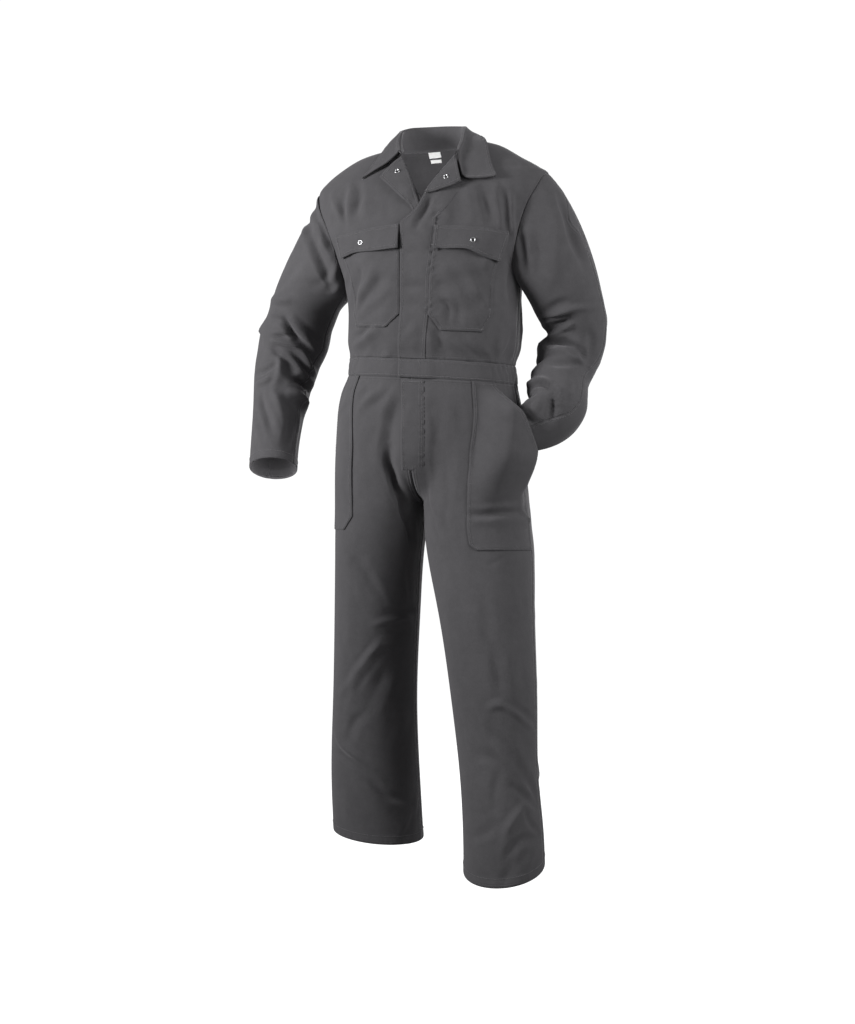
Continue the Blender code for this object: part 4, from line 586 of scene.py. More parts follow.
 ("sleeve-1",   92.0,  0.387,  100.0,  0.406,   99.0,  0.448, 0.0080,  0.0060,  0.3, "Z"),
 ("sleeve-1",  109.0,  0.397,  123.0,  0.409,  141.0,  0.421, 0.0120, -0.0090,  0.0, "Z"),
 ("sleeve-1",   33.0,  0.419,   72.0,  0.416,   92.0,  0.405, 0.0050, -0.0060,  0.2, "Z"),
 ("sleeve-1",   45.0,  0.438,   72.0,  0.435,   90.0,  0.430, 0.0060,  0.0050,  0.0, "Z"),
 ("sleeve-1",  134.0,  0.426,  151.0,  0.429,  173.0,  0.430, 0.0060, -0.0110,  0.3, "Z"),
 ("sleeve-1",  123.0,  0.456,  152.0,  0.460,  192.0,  0.451, 0.0090,  0.0075,  0.0, "Z"),
 ("sleeve-1",   63.0,  0.462,   76.0,  0.499,  108.0,  0.556, 0.0080, -0.0075,  0.2, "Z"),
 ("sleeve-1",   95.0,  0.456,  111.0,  0.487,  123.0,  0.520, 0.0090,  0.0055,  0.2, "Z"),
 ("sleeve-1",  132.0,  0.478,  149.0,  0.523,  139.0,  0.573, 0.0110, -0.0036,  0.0, "Z"),
 ("sleeve-1",   35.0,  0.469,   58.0,  0.528,   82.0,  0.573, 0.0080,  0.0036,  0.0, "Z"),
 ("sleeve-1",  170.0,  0.489,  168.0,  0.531,  161.0,  0.581, 0.0090,  0.0036,  0.0, "Z"),
 ("sleeve+1",   96.0,  0.014,  108.0,  0.052,  120.0,  0.116, 0.0080, -0.0065,  0.2, "S"),
 ("sleeve+1",   51.0,  0.066,   61.0,  0.121,   99.0,  0.190, 0.0160,  0.0050,  0.0, "S"),
 ("sleeve+1",   75.0,  0.049,   85.0,  0.099,   99.0,  0.144, 0.0120, -0.0040,  0.0, "S"),
 ("sleeve+1",   35.0,  0.107,   36.0,  0.141,   31.0,  0.190, 0.0080, -0.0048,  0.2, "S"),
 ("sleeve+1",   24.0,  0.049,   33.0,  0.086,   38.0,  0.119, 0.0060, -0.0050,  0.2, "S"),
 ("sleeve+1",   22.0,  0.113,   20.0,  0.139,   16.0,  0.193, 0.0090,  0.0040,  0.0, "S"),
 ("sleeve+1",  128.0,  0.246,   92.0,  0.237,   67.0,  0.242, 0.0080, -0.0050,  0.0, "S"),
 ("sleeve+1",  130.0,  0.249,   89.0,  0.254,   16.0,  0.274, 0.0050,  0.0065,  0.3, "S"),
 ("sleeve+1",  135.0,  0.255,   99.0,  0.261,   69.0,  0.268, 0.0035, -0.0050,  0.0, "S"),
 ("sleeve+1",  136.0,  0.261,   94.0,  0.268,   66.0,  0.272, 0.0040,  0.0050,  0.0, "S"),
 ("sleeve+1",  129.0,  0.286,  100.0,  0.275,   71.0,  0.277, 0.0065, -0.0110,  0.2, "S"),
 ("sleeve+1",  133.0,  0.318,   99.0,  0.298,   74.0,  0.283, 0.0050,  0.0070,  0.3, "S"),
 ("sleeve+1",  146.0,  0.352,  111.0,  0.323,   85.0,  0.315, 0.0060,  0.0060,  0.2, "S"),
 ("sleeve+1",  131.0,  0.375,   95.0,  0.361,   68.0,  0.358, 0.0050, -0.0075,  0.2, "S"),
 ("sleeve+1",   68.0,  0.358,   52.0,  0.370,   33.0,  0.388, 0.0060, -0.0060,  0.0, "S"),
 ("sleeve+1",   92.0,  0.320,   67.0,  0.347,   43.0,  0.370, 0.0060,  0.0060,  0.0, "S"),
 ("sleeve+1",  117.0,  0.396,   93.0,  0.391,   73.0,  0.390, 0.0080,  0.0050,  0.0, "S"),
 ("sleeve+1",   83.0,  0.381,   56.0,  0.394,   32.0,  0.396, 0.0055,  0.0055,  0.0, "S"),
 ("sleeve+1",  101.0,  0.420,   72.0,  0.422,   34.0,  0.407, 0.0080, -0.0060,  0.2, "S"),
 ("sleeve+1",   52.0,  0.310,   38.0,  0.341,   15.0,  0.407, 0.0080, -0.0050,  0.0, "S"),
 ("sleeve+1",  157.0,  0.436,  103.0,  0.450,   76.0,  0.463, 0.0060,  0.0090,  0.3, "S"),
 ("sleeve+1",   76.0,  0.463,   51.0,  0.483,   21.0,  0.498, 0.0065,  0.0080,  0.2, "S"),
 ("sleeve+1",  127.0,  0.453,   96.0,  0.460,   76.0,  0.477, 0.0050, -0.0080,  0.0, "S"),
 ("sleeve+1",   76.0,  0.477,   37.0,  0.500,   -6.0,  0.515, 0.0075, -0.0095,  0.0, "S"),
 ("sleeve+1",  132.0,  0.465,   61.0,  0.514,   28.0,  0.521, 0.0090,  0.0060,  0.0, "S"),
 ("sleeve+1",   71.0,  0.534,   77.0,  0.524,   70.0,  0.515, 0.0050,  0.0050,  0.2, "S"),
 ("sleeve+1",  114.0,  0.541,   37.0,  0.543,   15.0,  0.534, 0.0050, -0.0060,  0.0, "S"),
 ("sleeve+1",   29.0,  0.434,   28.0,  0.468,   12.0,  0.492, 0.0070,  0.0030,  0.0, "S"),
 # the back, the sides and the inner legs, like the shown ones
 ("trunk",  152.0,  0.420,  147.0,  0.345,  151.0,  0.250, 0.0150,  0.0050,  0.2, "T"),
 ("trunk",  163.0,  0.400,  160.0,  0.330,  166.0,  0.240, 0.0140, -0.0042,  0.0, "T"),
 ("trunk", -150.0,  0.410, -144.0,  0.340, -150.0,  0.235, 0.0150,  0.0046, -0.2, "T"),
 ("trunk", -166.0,  0.380, -168.0,  0.300, -162.0,  0.220, 0.0130, -0.0038,  0.0, "T"),
 ("trunk",  118.0,  0.262,  130.0,  0.238,  152.0,  0.215, 0.0110,  0.0062,  0.3, "T"),
 ("trunk",  116.0,  0.236,  128.0,  0.214,  144.0,  0.184, 0.0100, -0.0055,  0.0, "T"),
 ("trunk",  110.0,  0.205,  124.0,  0.184,  138.0,  0.150, 0.0120,  0.0048,  0.2, "T"),
 ("trunk", -116.0,  0.258, -132.0,  0.230, -154.0,  0.216, 0.0110,  0.0058, -0.3, "T"),
 ("trunk", -112.0,  0.224, -126.0,  0.198, -146.0,  0.176, 0.0100, -0.0050,  0.0, "T"),
 ("trunk", -106.0,  0.190, -118.0,  0.168, -130.0,  0.132, 0.0120,  0.0044,  0.0, "T"),
 ("trunk",  101.0,  0.150,  104.0,  0.098,  102.0,  0.044, 0.0080,  0.0046,  0.2, "T"),
 ("trunk",  112.0,  0.120,  114.0,  0.080,  112.0,  0.042, 0.0075, -0.0048,  0.0, "T"),
 ("trunk",  121.0,  0.138,  124.0,  0.090,  121.0,  0.042, 0.0080,  0.0050,  0.2, "T"),
 ("trunk",  132.0,  0.110,  132.0,  0.076,  130.0,  0.042, 0.0070, -0.0042,  0.0, "T"),
 ("trunk",  141.0,  0.152,  145.0,  0.096,  141.0,  0.042, 0.0085,  0.0046,  0.0, "T"),
 ("trunk",  153.0,  0.116,  152.0,  0.080,  154.0,  0.042, 0.0075, -0.0040,  0.0, "T"),
 ("trunk",  163.0,  0.134,  165.0,  0.086,  163.0,  0.042, 0.0080,  0.0044,  0.2, "T"),
 ("trunk",  174.0,  0.106,  172.0,  0.072,  174.0,  0.042, 0.0070, -0.0036,  0.0, "T"),
 ("trunk", -176.0,  0.148, -172.0,  0.094, -175.0,  0.042, 0.0085,  0.0046,  0.0, "T"),
 ("trunk", -165.0,  0.112, -163.0,  0.076, -165.0,  0.042, 0.0072, -0.0042,  0.0, "T"),
 ("trunk", -154.0,  0.140, -156.0,  0.090, -153.0,  0.042, 0.0080,  0.0050,  0.2, "T"),
 ("trunk", -142.0,  0.108, -140.0,  0.074, -143.0,  0.042, 0.0072, -0.0044,  0.0, "T"),
 ("trunk", -131.0,  0.132, -133.0,  0.088, -130.0,  0.042, 0.0080,  0.0046,  0.0, "T"),
 ("trunk", -120.0,  0.118, -119.0,  0.078, -121.0,  0.042, 0.0075, -0.0046,  0.0, "T"),
 ("trunk", -110.0,  0.144, -108.0,  0.092, -110.0,  0.042, 0.0080,  0.0050,  0.2, "T"),
 ("trunk",  -98.0,  0.116,  -99.0,  0.078,  -98.0,  0.042, 0.0075, -0.0042,  0.0, "T"),
 ("trunk",  -88.0,  0.156,  -84.0,  0.100,  -86.0,  0.044, 0.0080,  0.0040,  0.0, "T"),
 ("trunk",   88.0,  0.150,   84.0,  0.100,   87.0,  0.044, 0.0080,  0.0036,  0.0, "T"),
 ("leg+1",   0.520, -0.480,   0.526, -0.530,   0.520, -0.585, 0.0085,  0.0050,  0.2, "L"),
 ("leg+1",   0.562, -0.480,   0.570, -0.520,   0.566, -0.560, 0.0075, -0.0046,  0.0, "L"),
 ("leg+1",   0.606, -0.480,   0.616, -0.535,   0.612, -0.600, 0.0085,  0.0050,  0.0, "L"),
 ("leg+1",   0.662, -0.480,   0.668, -0.520,   0.660, -0.556, 0.0080, -0.0042,  0.0, "L"),
 ("leg+1",   0.716, -0.480,   0.730, -0.530,   0.722, -0.594, 0.0085,  0.0046,  0.2, "L"),
 ("leg+1",   0.790, -0.480,   0.800, -0.516,   0.792, -0.560, 0.0080, -0.0038,  0.0, "L"),
 ("leg+1",   0.870, -0.480,   0.880, -0.530,   0.872, -0.590, 0.0090,  0.0042,  0.0, "L"),
 ("leg-1",   0.515, -0.480,   0.524, -0.525,   0.516, -0.590, 0.0085,  0.0048,  0.2, "R"),
 ("leg-1",   0.570, -0.480,   0.572, -0.516,   0.566, -0.556, 0.0075, -0.0046,  0.0, "R"),
 ("leg-1",   0.622, -0.480,   0.634, -0.534,   0.626, -0.604, 0.0085,  0.0050,  0.0, "R"),
 ("leg-1",   0.690, -0.480,   0.694, -0.518,   0.684, -0.560, 0.0080, -0.0042,  0.0, "R"),
 ("leg-1",   0.752, -0.480,   0.764, -0.532,   0.756, -0.590, 0.0085,  0.0046,  0.2, "R"),
 ("leg-1",   0.836, -0.480,   0.846, -0.520,   0.840, -0.566, 0.0080, -0.0038,  0.0, "R"),
 ("leg-1",   0.912, -0.480,   0.920, -0.530,   0.912, -0.584, 0.0090,  0.0038,  0.0, "R"),
 # seat, back of the thigh, behind the knee, above the hems
 ("leg+1",   0.600, -0.700,   0.740, -0.745,   0.900, -0.728, 0.0120,  0.0065,  0.3, "L"),
 ("leg+1",   0.640, -0.728,   0.760, -0.770,   0.880, -0.760, 0.0110, -0.0060,  0.0, "L"),
 ("leg+1",   0.680, -0.790,   0.780, -0.822,   0.900, -0.800, 0.0120,  0.0040,  0.0, "L"),
 ("leg-1",   0.590, -0.690,   0.730, -0.738,   0.905, -0.720, 0.0120,  0.0068,  0.3, "R"),
 ("leg-1",   0.650, -0.724,   0.770, -0.764,   0.890, -0.750, 0.0110, -0.0058,  0.0, "R"),
 ("leg-1",   0.660, -0.780,   0.760, -0.816,   0.880, -0.806, 0.0120,  0.0042,  0.0, "R"),
 ("leg+1",   0.560, -0.930,   0.700, -0.955,   0.880, -0.932, 0.0100,  0.0078,  0.3, "L"),
 ("leg+1",   0.600, -0.952,   0.720, -0.980,   0.860, -0.960, 0.0080, -0.0080,  0.0, "L"),
 ("leg+1",   0.580, -1.000,   0.720, -0.998,   0.900, -1.020, 0.0095,  0.0066,  0.2, "L"),
 ("leg+1",   0.640, -1.036,   0.760, -1.022,   0.900, -1.052, 0.0085, -0.0060,  0.0, "L"),
 ("leg+1",   0.560, -1.060,   0.640, -1.090,   0.740, -1.150, 0.0110,  0.0060,  0.2, "L"),
 ("leg-1",   0.570, -0.950,   0.700, -0.942,   0.870, -0.968, 0.0100,  0.0074,  0.3, "R"),
 ("leg-1",   0.600, -0.976,   0.730, -0.966,   0.860, -0.990, 0.0080, -0.0078,  0.0, "R"),
 ("leg-1",   0.560, -1.006,   0.700, -1.022,   0.890, -1.008, 0.0100,  0.0064,  0.2, "R"),
 ("leg-1",   0.620, -1.050,   0.740, -1.040,   0.900, -1.060, 0.0085, -0.0056,  0.0, "R"),
 ("leg-1",   0.900, -1.080,   0.800, -1.110,   0.700, -1.170, 0.0110,  0.0058,  0.2, "R"),
 ("leg+1",   0.520, -1.210,   0.620, -1.245,   0.760, -1.236, 0.0095,  0.0066,  0.3, "L"),
 ("leg+1",   0.560, -1.248,   0.660, -1.280,   0.800, -1.262, 0.0085, -0.0064,  0.0, "L"),
 ("leg+1",   0.620, -1.300,   0.740, -1.326,   0.900, -1.302, 0.0095,  0.0058,  0.2, "L"),
 ("leg+1",   0.920, -1.180,   0.840, -1.220,   0.760, -1.290, 0.0100, -0.0050,  0.0, "L"),
 ("leg-1",   0.540, -1.190,   0.660, -1.222,   0.800, -1.210, 0.0095,  0.0062,  0.3, "R"),
 ("leg-1",   0.580, -1.230,   0.700, -1.256,   0.840, -1.240, 0.0085, -0.0060,  0.0, "R"),
 ("leg-1",   0.520, -1.270,   0.620, -1.306,   0.760, -1.300, 0.0100,  0.0054,  0.2, "R"),
 ("leg-1",   0.920, -1.220,   0.820, -1.262,   0.760, -1.330, 0.0100, -0.0046,  0.0, "R"),
 ("leg+1",   0.560, -0.640,   0.580, -0.760,   0.560, -0.880, 0.0160,  0.0040,  0.0, "L"),
 ("leg-1",   0.570, -0.640,   0.590, -0.760,   0.565, -0.880, 0.0160,  0.0040,  0.0, "R"),
 # the sleeves' hidden sides
 ("sleeve+1", 200.0,  0.060,  206.0,  0.130,  200.0,  0.220, 0.0120,  0.0023,  0.0, "S"),
 ("sleeve+1", 240.0,  0.050,  236.0,  0.120,  244.0,  0.200, 0.0120, -0.0021,  0.0, "S"),
 ("sleeve+1", 290.0,  0.090,  296.0,  0.160,  288.0,  0.240, 0.0130,  0.0020,  0.0, "S"),
 ("sleeve+1", 350.0,  0.290,  300.0,  0.315,  250.0,  0.300, 0.0080,  0.0040,  0.3, "S"),
 ("sleeve+1", 345.0,  0.318,  300.0,  0.340,  246.0,  0.330, 0.0075, -0.0038,  0.0, "S"),
 ("sleeve+1", 340.0,  0.352,  300.0,  0.362,  240.0,  0.350, 0.0090,  0.0018,  0.3, "S"),
 ("sleeve+1", 322.0,  0.390,  290.0,  0.386,  244.0,  0.400, 0.0090, -0.0014,  0.0, "S"),
 ("sleeve+1", 180.0,  0.280,  210.0,  0.300,  235.0,  0.330, 0.0080,  0.0035,  0.2, "S"),
 ("sleeve+1", 176.0,  0.330,  205.0,  0.345,  240.0,  0.372, 0.0080, -0.0035,  0.0, "S"),
 ("sleeve+1", 296.0,  0.430,  318.0,  0.450,  335.0,  0.490, 0.0100,  0.0012,  0.2, "S"),
 ("sleeve+1", 200.0,  0.420,  250.0,  0.440,  300.0,  0.470, 0.0080, -0.0028,  0.0, "S"),
 ("sleeve-1", 200.0,  0.060,  206.0,  0.130,  200.0,  0.220, 0.0120,  0.0023,  0.0, "Z"),
 ("sleeve-1", 240.0,  0.060,  244.0,  0.130,  236.0,  0.210, 0.0120, -0.0020,  0.0, "Z"),
 ("sleeve-1", 285.0,  0.080,  280.0,  0.150,  290.0,  0.230, 0.0130,  0.0020,  0.0, "Z"),
 ("sleeve-1", 350.0,  0.280,  300.0,  0.300,  245.0,  0.312, 0.0085,  0.0040,  0.3, "Z"),
 ("sleeve-1", 345.0,  0.312,  300.0,  0.330,  250.0,  0.340, 0.0075, -0.0039,  0.0, "Z"),
 ("sleeve-1", 355.0,  0.350,  305.0,  0.362,  240.0,  0.366, 0.0085,  0.0040,  0.3, "Z"),
 ("sleeve-1", 350.0,  0.385,  300.0,  0.392,  246.0,  0.404, 0.0080, -0.0032,  0.0, "Z"),
 ("sleeve-1", 340.0,  0.420,  300.0,  0.436,  250.0,  0.430, 0.0090,  0.0028,  0.2, "Z"),
 ("sleeve-1", 205.0,  0.306,  224.0,  0.320,  246.0,  0.350, 0.0080,  0.0016,  0.0, "Z"),
 ("sleeve-1", 190.0,  0.430,  240.0,  0.460,  290.0,  0.480, 0.0090, -0.0024,  0.0, "Z"),
 ("sleeve-1", 250.0,  0.500,  290.0,  0.510,  340.0,  0.500, 0.0090,  0.0020,  0.0, "Z"),
 # the bends of the elbows as the outline shows them
 ("sleeve+1", 225.0,  0.410,  175.0,  0.407,  108.0,  0.405, 0.0115, -0.0150,  0.0, "S"),
 ("sleeve+1", 215.0,  0.376,  165.0,  0.373,  120.0,  0.372, 0.0110,  0.0070,  0.0, "S"),
 ("sleeve+1", 215.0,  0.330,  165.0,  0.324,  125.0,  0.320, 0.0080, -0.0050,  0.0, "S"),
 ("sleeve+1", 215.0,  0.446,  170.0,  0.443,  135.0,  0.443, 0.0100,  0.0050,  0.0, "S"),
 ("sleeve-1", 325.0,  0.322,    8.0,  0.326,   42.0,  0.333, 0.0220,  0.0055,  0.0, "Z"),
 ("sleeve-1", 215.0,  0.428,  172.0,  0.424,  130.0,  0.424, 0.0075, -0.0090,  0.0, "Z"),
 ("sleeve-1", 215.0,  0.460,  172.0,  0.457,  135.0,  0.455, 0.0160,  0.0040,  0.0, "Z"),

]


SURFACE = {
 "trunk": (trunk, 0.4, 0.002, 1.0),
 "sleeve+1": (lambda a, b: sleeve(+1, a, b), 0.6, 0.003, 1.0),
 "sleeve-1": (lambda a, b: sleeve(-1, a, b), 0.6, 0.003, -1.0),
 "leg+1": (lambda a, b: leg(+1, a, b), 0.002, 0.002, 1.0),
 "leg-1": (lambda a, b: leg(-1, a, b), 0.002, 0.002, -1.0),
}
_lines = {}


def fold_line(row):
    if row not in _lines:
        f, ea, eb, flip = SURFACE[row[0]]
        t = np.linspace(0, 1, 13)
        w = np.stack([(1-t)*(1-2*t), 4*t*(1-t), t*(2*t-1)])
        a = w.T @ np.array([row[1], row[3], row[5]])
        b = w.T @ np.array([row[2], row[4], row[6]])
        L = f(a, b)
        _lines[row] = (L, normals(f, a, b, ea, eb, flip))
    return _lines[row]


FULLNESS = {"trunk": 1.0, "sleeve+1": 1.20, "sleeve-1": 1.20, "leg+1": 0.56, "leg-1": 0.56}


def folded(family, P):
    """Where the folds and the waist gathers move these points."""
    shape = P.shape
    Q = P.reshape(-1, 3)
    W = Q + 0.0030*np.stack([wobble(Q, 0.070, 1), wobble(Q, 0.070, 2), wobble(Q, 0.070, 3)], -1)
    out = np.zeros_like(Q)
    if family == "none":
        return out.reshape(shape)
    for row in FOLDS:
        if not any(k in row[10] for k in family):
            continue
        L, n = fold_line(row)
        half = row[7]
        reach = 3.0*half
        m = np.all((W > L.min(0) - reach) & (W < L.max(0) + reach), axis=1)
        if not m.any():
            continue
        X = W[m]
        best = np.full(len(X), 9.0)
        where = np.zeros(len(X))
        sign = np.zeros(len(X))
        nn = np.zeros_like(X)
        for i in range(len(L) - 1):
            d = L[i+1] - L[i]
            q = np.clip(((X - L[i]) @ d)/(d @ d + 1e-12), 0, 1)
            off = X - (L[i] + q[:, None]*d)
            ni = unit(n[i] + (n[i+1] - n[i])*q[:, None])
            high = np.einsum('ij,ij->i', off, ni)
            flat = off - ni*(high*0.75)[:, None]      # standing off the form counts for less
            r = np.linalg.norm(flat, axis=1)
            k = r < best
            where[k] = (i + q[k])/(len(L) - 1)
            side = np.einsum('ij,ij->i', np.cross(np.broadcast_to(d, X.shape), ni), off)
            sign[k] = np.sign(side[k])
            nn[k] = ni[k]
            best[k] = r[k]
        u = best*sign/half
        u = u*(1 + 0.45*row[9]*np.sign(u))
        w = np.exp(-np.abs(u)**1.6) - 0.20*np.exp(-((np.abs(u) - 1.7)/0.6)**2)
        end = np.sin(pi*np.clip(0.03 + 0.94*where, 0, 1))**0.8
        vary = 1 + 0.20*wobble(X, 0.050, 4)
        out[m] += nn*(row[8]*FULLNESS[row[0]]*w*end*vary)[:, None]
    if family in ("T", "W", "L", "R"):
        out += gathers(Q)
    if family in ("T", "LR"):
        out += puckers(Q)
    return out.reshape(shape)


# Rows of machine stitching that pull the cloth into small slanting wrinkles:
# the line's ends as (turn, run) on the trunk, reach to each side, height, spacing.
PUCKER_NAMES = ("turn0", "run0", "turn1", "run1", "reach", "height", "pitch")
PUCKERS = [
 (7.6,  0.345,  8.0,  0.225, 0.0085, 0.0019, 0.0125),      # placket and pocket, side by side
 (8.0,  0.225,  8.2,  0.115, 0.0090, 0.0017, 0.0140),
 (0.5,  0.365,  0.4,  0.060, 0.0040, 0.0004, 0.0150),
]


def puckers(Q):
    out = np.zeros_like(Q)
    for k, row in enumerate(PUCKERS):
        t = np.linspace(0, 1, 30)
        a, b = row[0] + (row[2] - row[0])*t, row[1] + (row[3] - row[1])*t
        L = trunk(a, b)
        n = normals(trunk, a, b, 0.4, 0.002, 1.0)
        m = np.all((Q > L.min(0) - 3*row[4]) & (Q < L.max(0) + 3*row[4]), axis=1)
        if not m.any():
            continue
        X = Q[m]
        best, s, off, nn = np.full(len(X), 9.0), np.zeros(len(X)), np.zeros(len(X)), np.zeros_like(X)
        step = np.linalg.norm(np.diff(L, axis=0), axis=1)
        run = np.concatenate([[0], np.cumsum(step)])
        for i in range(len(L) - 1):
            d = L[i+1] - L[i]
            q = np.clip(((X - L[i]) @ d)/(d @ d), 0, 1)
            e = X - (L[i] + q[:, None]*d)
            e = e - n[i]*np.sum(e*n[i], -1, keepdims=True)
            r = np.linalg.norm(e, axis=1)
            j = r < best
            best[j] = r[j]
            s[j] = run[i] + q[j]*step[i]
            off[j] = np.sign(np.cross(d, n[i]) @ e[j].T)*r[j]
            nn[j] = n[i]
        ph = s/row[6]
        slant = off/row[4]
        wave = (np.sin(2*pi*(ph + 0.42*np.abs(slant)) + 1.3*np.sin(ph*1.7 + k))
                + 0.7*np.sin(2*pi*(0.63*ph - 0.5*slant) + 2.1*k + 0.9*np.sin(ph*0.9)))
        live = 0.55 + 0.45*np.sin(ph*0.8 + 1.9*k)
        w = np.exp(-(np.abs(off)/row[4])**1.5)*smooth(s/0.01)*smooth((run[-1] - s)/0.01)
        out[m] += nn*(row[5]*w*wave*live)[:, None]
    return out


def gathers(Q):
    """Small upright puckers held by the elastic, from the sides round the back."""
    dz = Q[:, 2] + 0.444 - (-0.06)*Q[:, 0]
    near = np.exp(-(np.abs(dz)/0.030)**1.6)
    ang = np.degrees(np.arctan2(Q[:, 0]/0.168, -Q[:, 1]/0.115))
    on = smooth((np.abs(ang) - 38)/26)
    p = np.radians(ang)
    warp = 0.05*np.sin(Q[:, 2]*31 + 2*p) + 0.03*np.sin(Q[:, 2]*83 + 5*p)
    s = (np.sin(46*(p + warp)) + 0.7*np.sin(71*(p - 0.6*warp) + 1.1) + 0.5*np.sin(27*p + 0.4))/1.7
    d = np.stack([np.sin(p), -np.cos(p), 0*p], -1)
    return d*(0.0021*near*on*s)[:, None]


# ------------------------------------------------------------- grids, walls
def bil(T, r, c):
    i = np.clip(np.floor(r).astype(int), 0, T.shape[0] - 2)
    j = np.clip(np.floor(c).astype(int), 0, T.shape[1] - 2)
    u, v = r - i, c - j
    return (T[i, j]*(1-u)*(1-v) + T[i+1, j]*u*(1-v) + T[i, j+1]*(1-u)*v + T[i+1, j+1]*u*v)


def samples(S, axis, lo, hi, olo, ohi, step, near0=(), near1=()):
    """Values along one axis whose places on the cloth are about `step` apart."""
    t = np.linspace(lo, hi, 160)
    total = 0
    for f in (0.15, 0.5, 0.85):
        o = np.full(160, olo + (ohi - olo)*f)
        P = S(t, o)[0] if axis == 0 else S(o, t)[0]
        total = total + np.concatenate([[0], np.cumsum(np.linalg.norm(np.diff(P, axis=0), axis=1))])
    length = total/3
    L = length[-1]
    a = near0[-1] if near0 else 0
    b = near1[-1] if near1 else 0
    n = max(2, int(round((L - a - b)/step)))
    want = list(near0[:-1]) + list(np.linspace(a, L - b, n + 1)) + [L - d for d in near1[-2::-1]]
    if near0:
        want = [0] + want
    if near1:
        want = want + [L]
    want = np.unique(np.round(np.clip(want, 0, L), 7))
    return np.interp(want, length, t)


def measures(P):
    """Distance of every point from the left, right, first and last line, in metres."""
    du = np.concatenate([np.zeros((P.shape[0], 1)),
                         np.cumsum(np.linalg.norm(np.diff(P, axis=1), axis=2), axis=1)], 1)
    dv = np.concatenate([np.zeros((1, P.shape[1])),
                         np.cumsum(np.linalg.norm(np.diff(P, axis=0), axis=2), axis=0)], 0)
    return du, du[:, -1:] - du, dv, dv[-1:] - dv


def mesh(name, V, quads, uv=None, attrs=None, mat=None, tris=None, smooth_it=True):
    me = bpy.data.meshes.new(name)
    nq = len(quads)
    nt = 0 if tris is None else len(tris)
    me.vertices.add(len(V))
    me.vertices.foreach_set("co", np.asarray(V, np.float32).ravel())
    loops = np.asarray(quads, np.int32).ravel()
    start = np.arange(nq)*4
    if nt:
        start = np.concatenate([start, nq*4 + np.arange(nt)*3])
        loops = np.concatenate([loops, np.asarray(tris, np.int32).ravel()])
    me.loops.add(len(loops))
    me.loops.foreach_set("vertex_index", loops)
    me.polygons.add(nq + nt)
    me.polygons.foreach_set("loop_start", start.astype(np.int32))
    me.update(calc_edges=True)
    me.validate()
    me.polygons.foreach_set("use_smooth", np.full(nq + nt, smooth_it))
    if uv is not None:
        layer = me.uv_layers.new(name="UVMap")
        idx = np.empty(len(me.loops), np.int32)
        me.loops.foreach_get("vertex_index", idx)
        layer.data.foreach_set("uv", np.asarray(uv, np.float32)[idx].ravel())
    for key, val in (attrs or {}).items():
        at = me.attributes.new(key, 'FLOAT', 'POINT')
        at.data.foreach_set("value", np.asarray(val, np.float32))
    ob = bpy.data.objects.new(name, me)
    bpy.context.scene.collection.objects.link(ob)
    if mat:
        me.materials.append(mat)
    return ob


PIECES = {}
LINES = {}


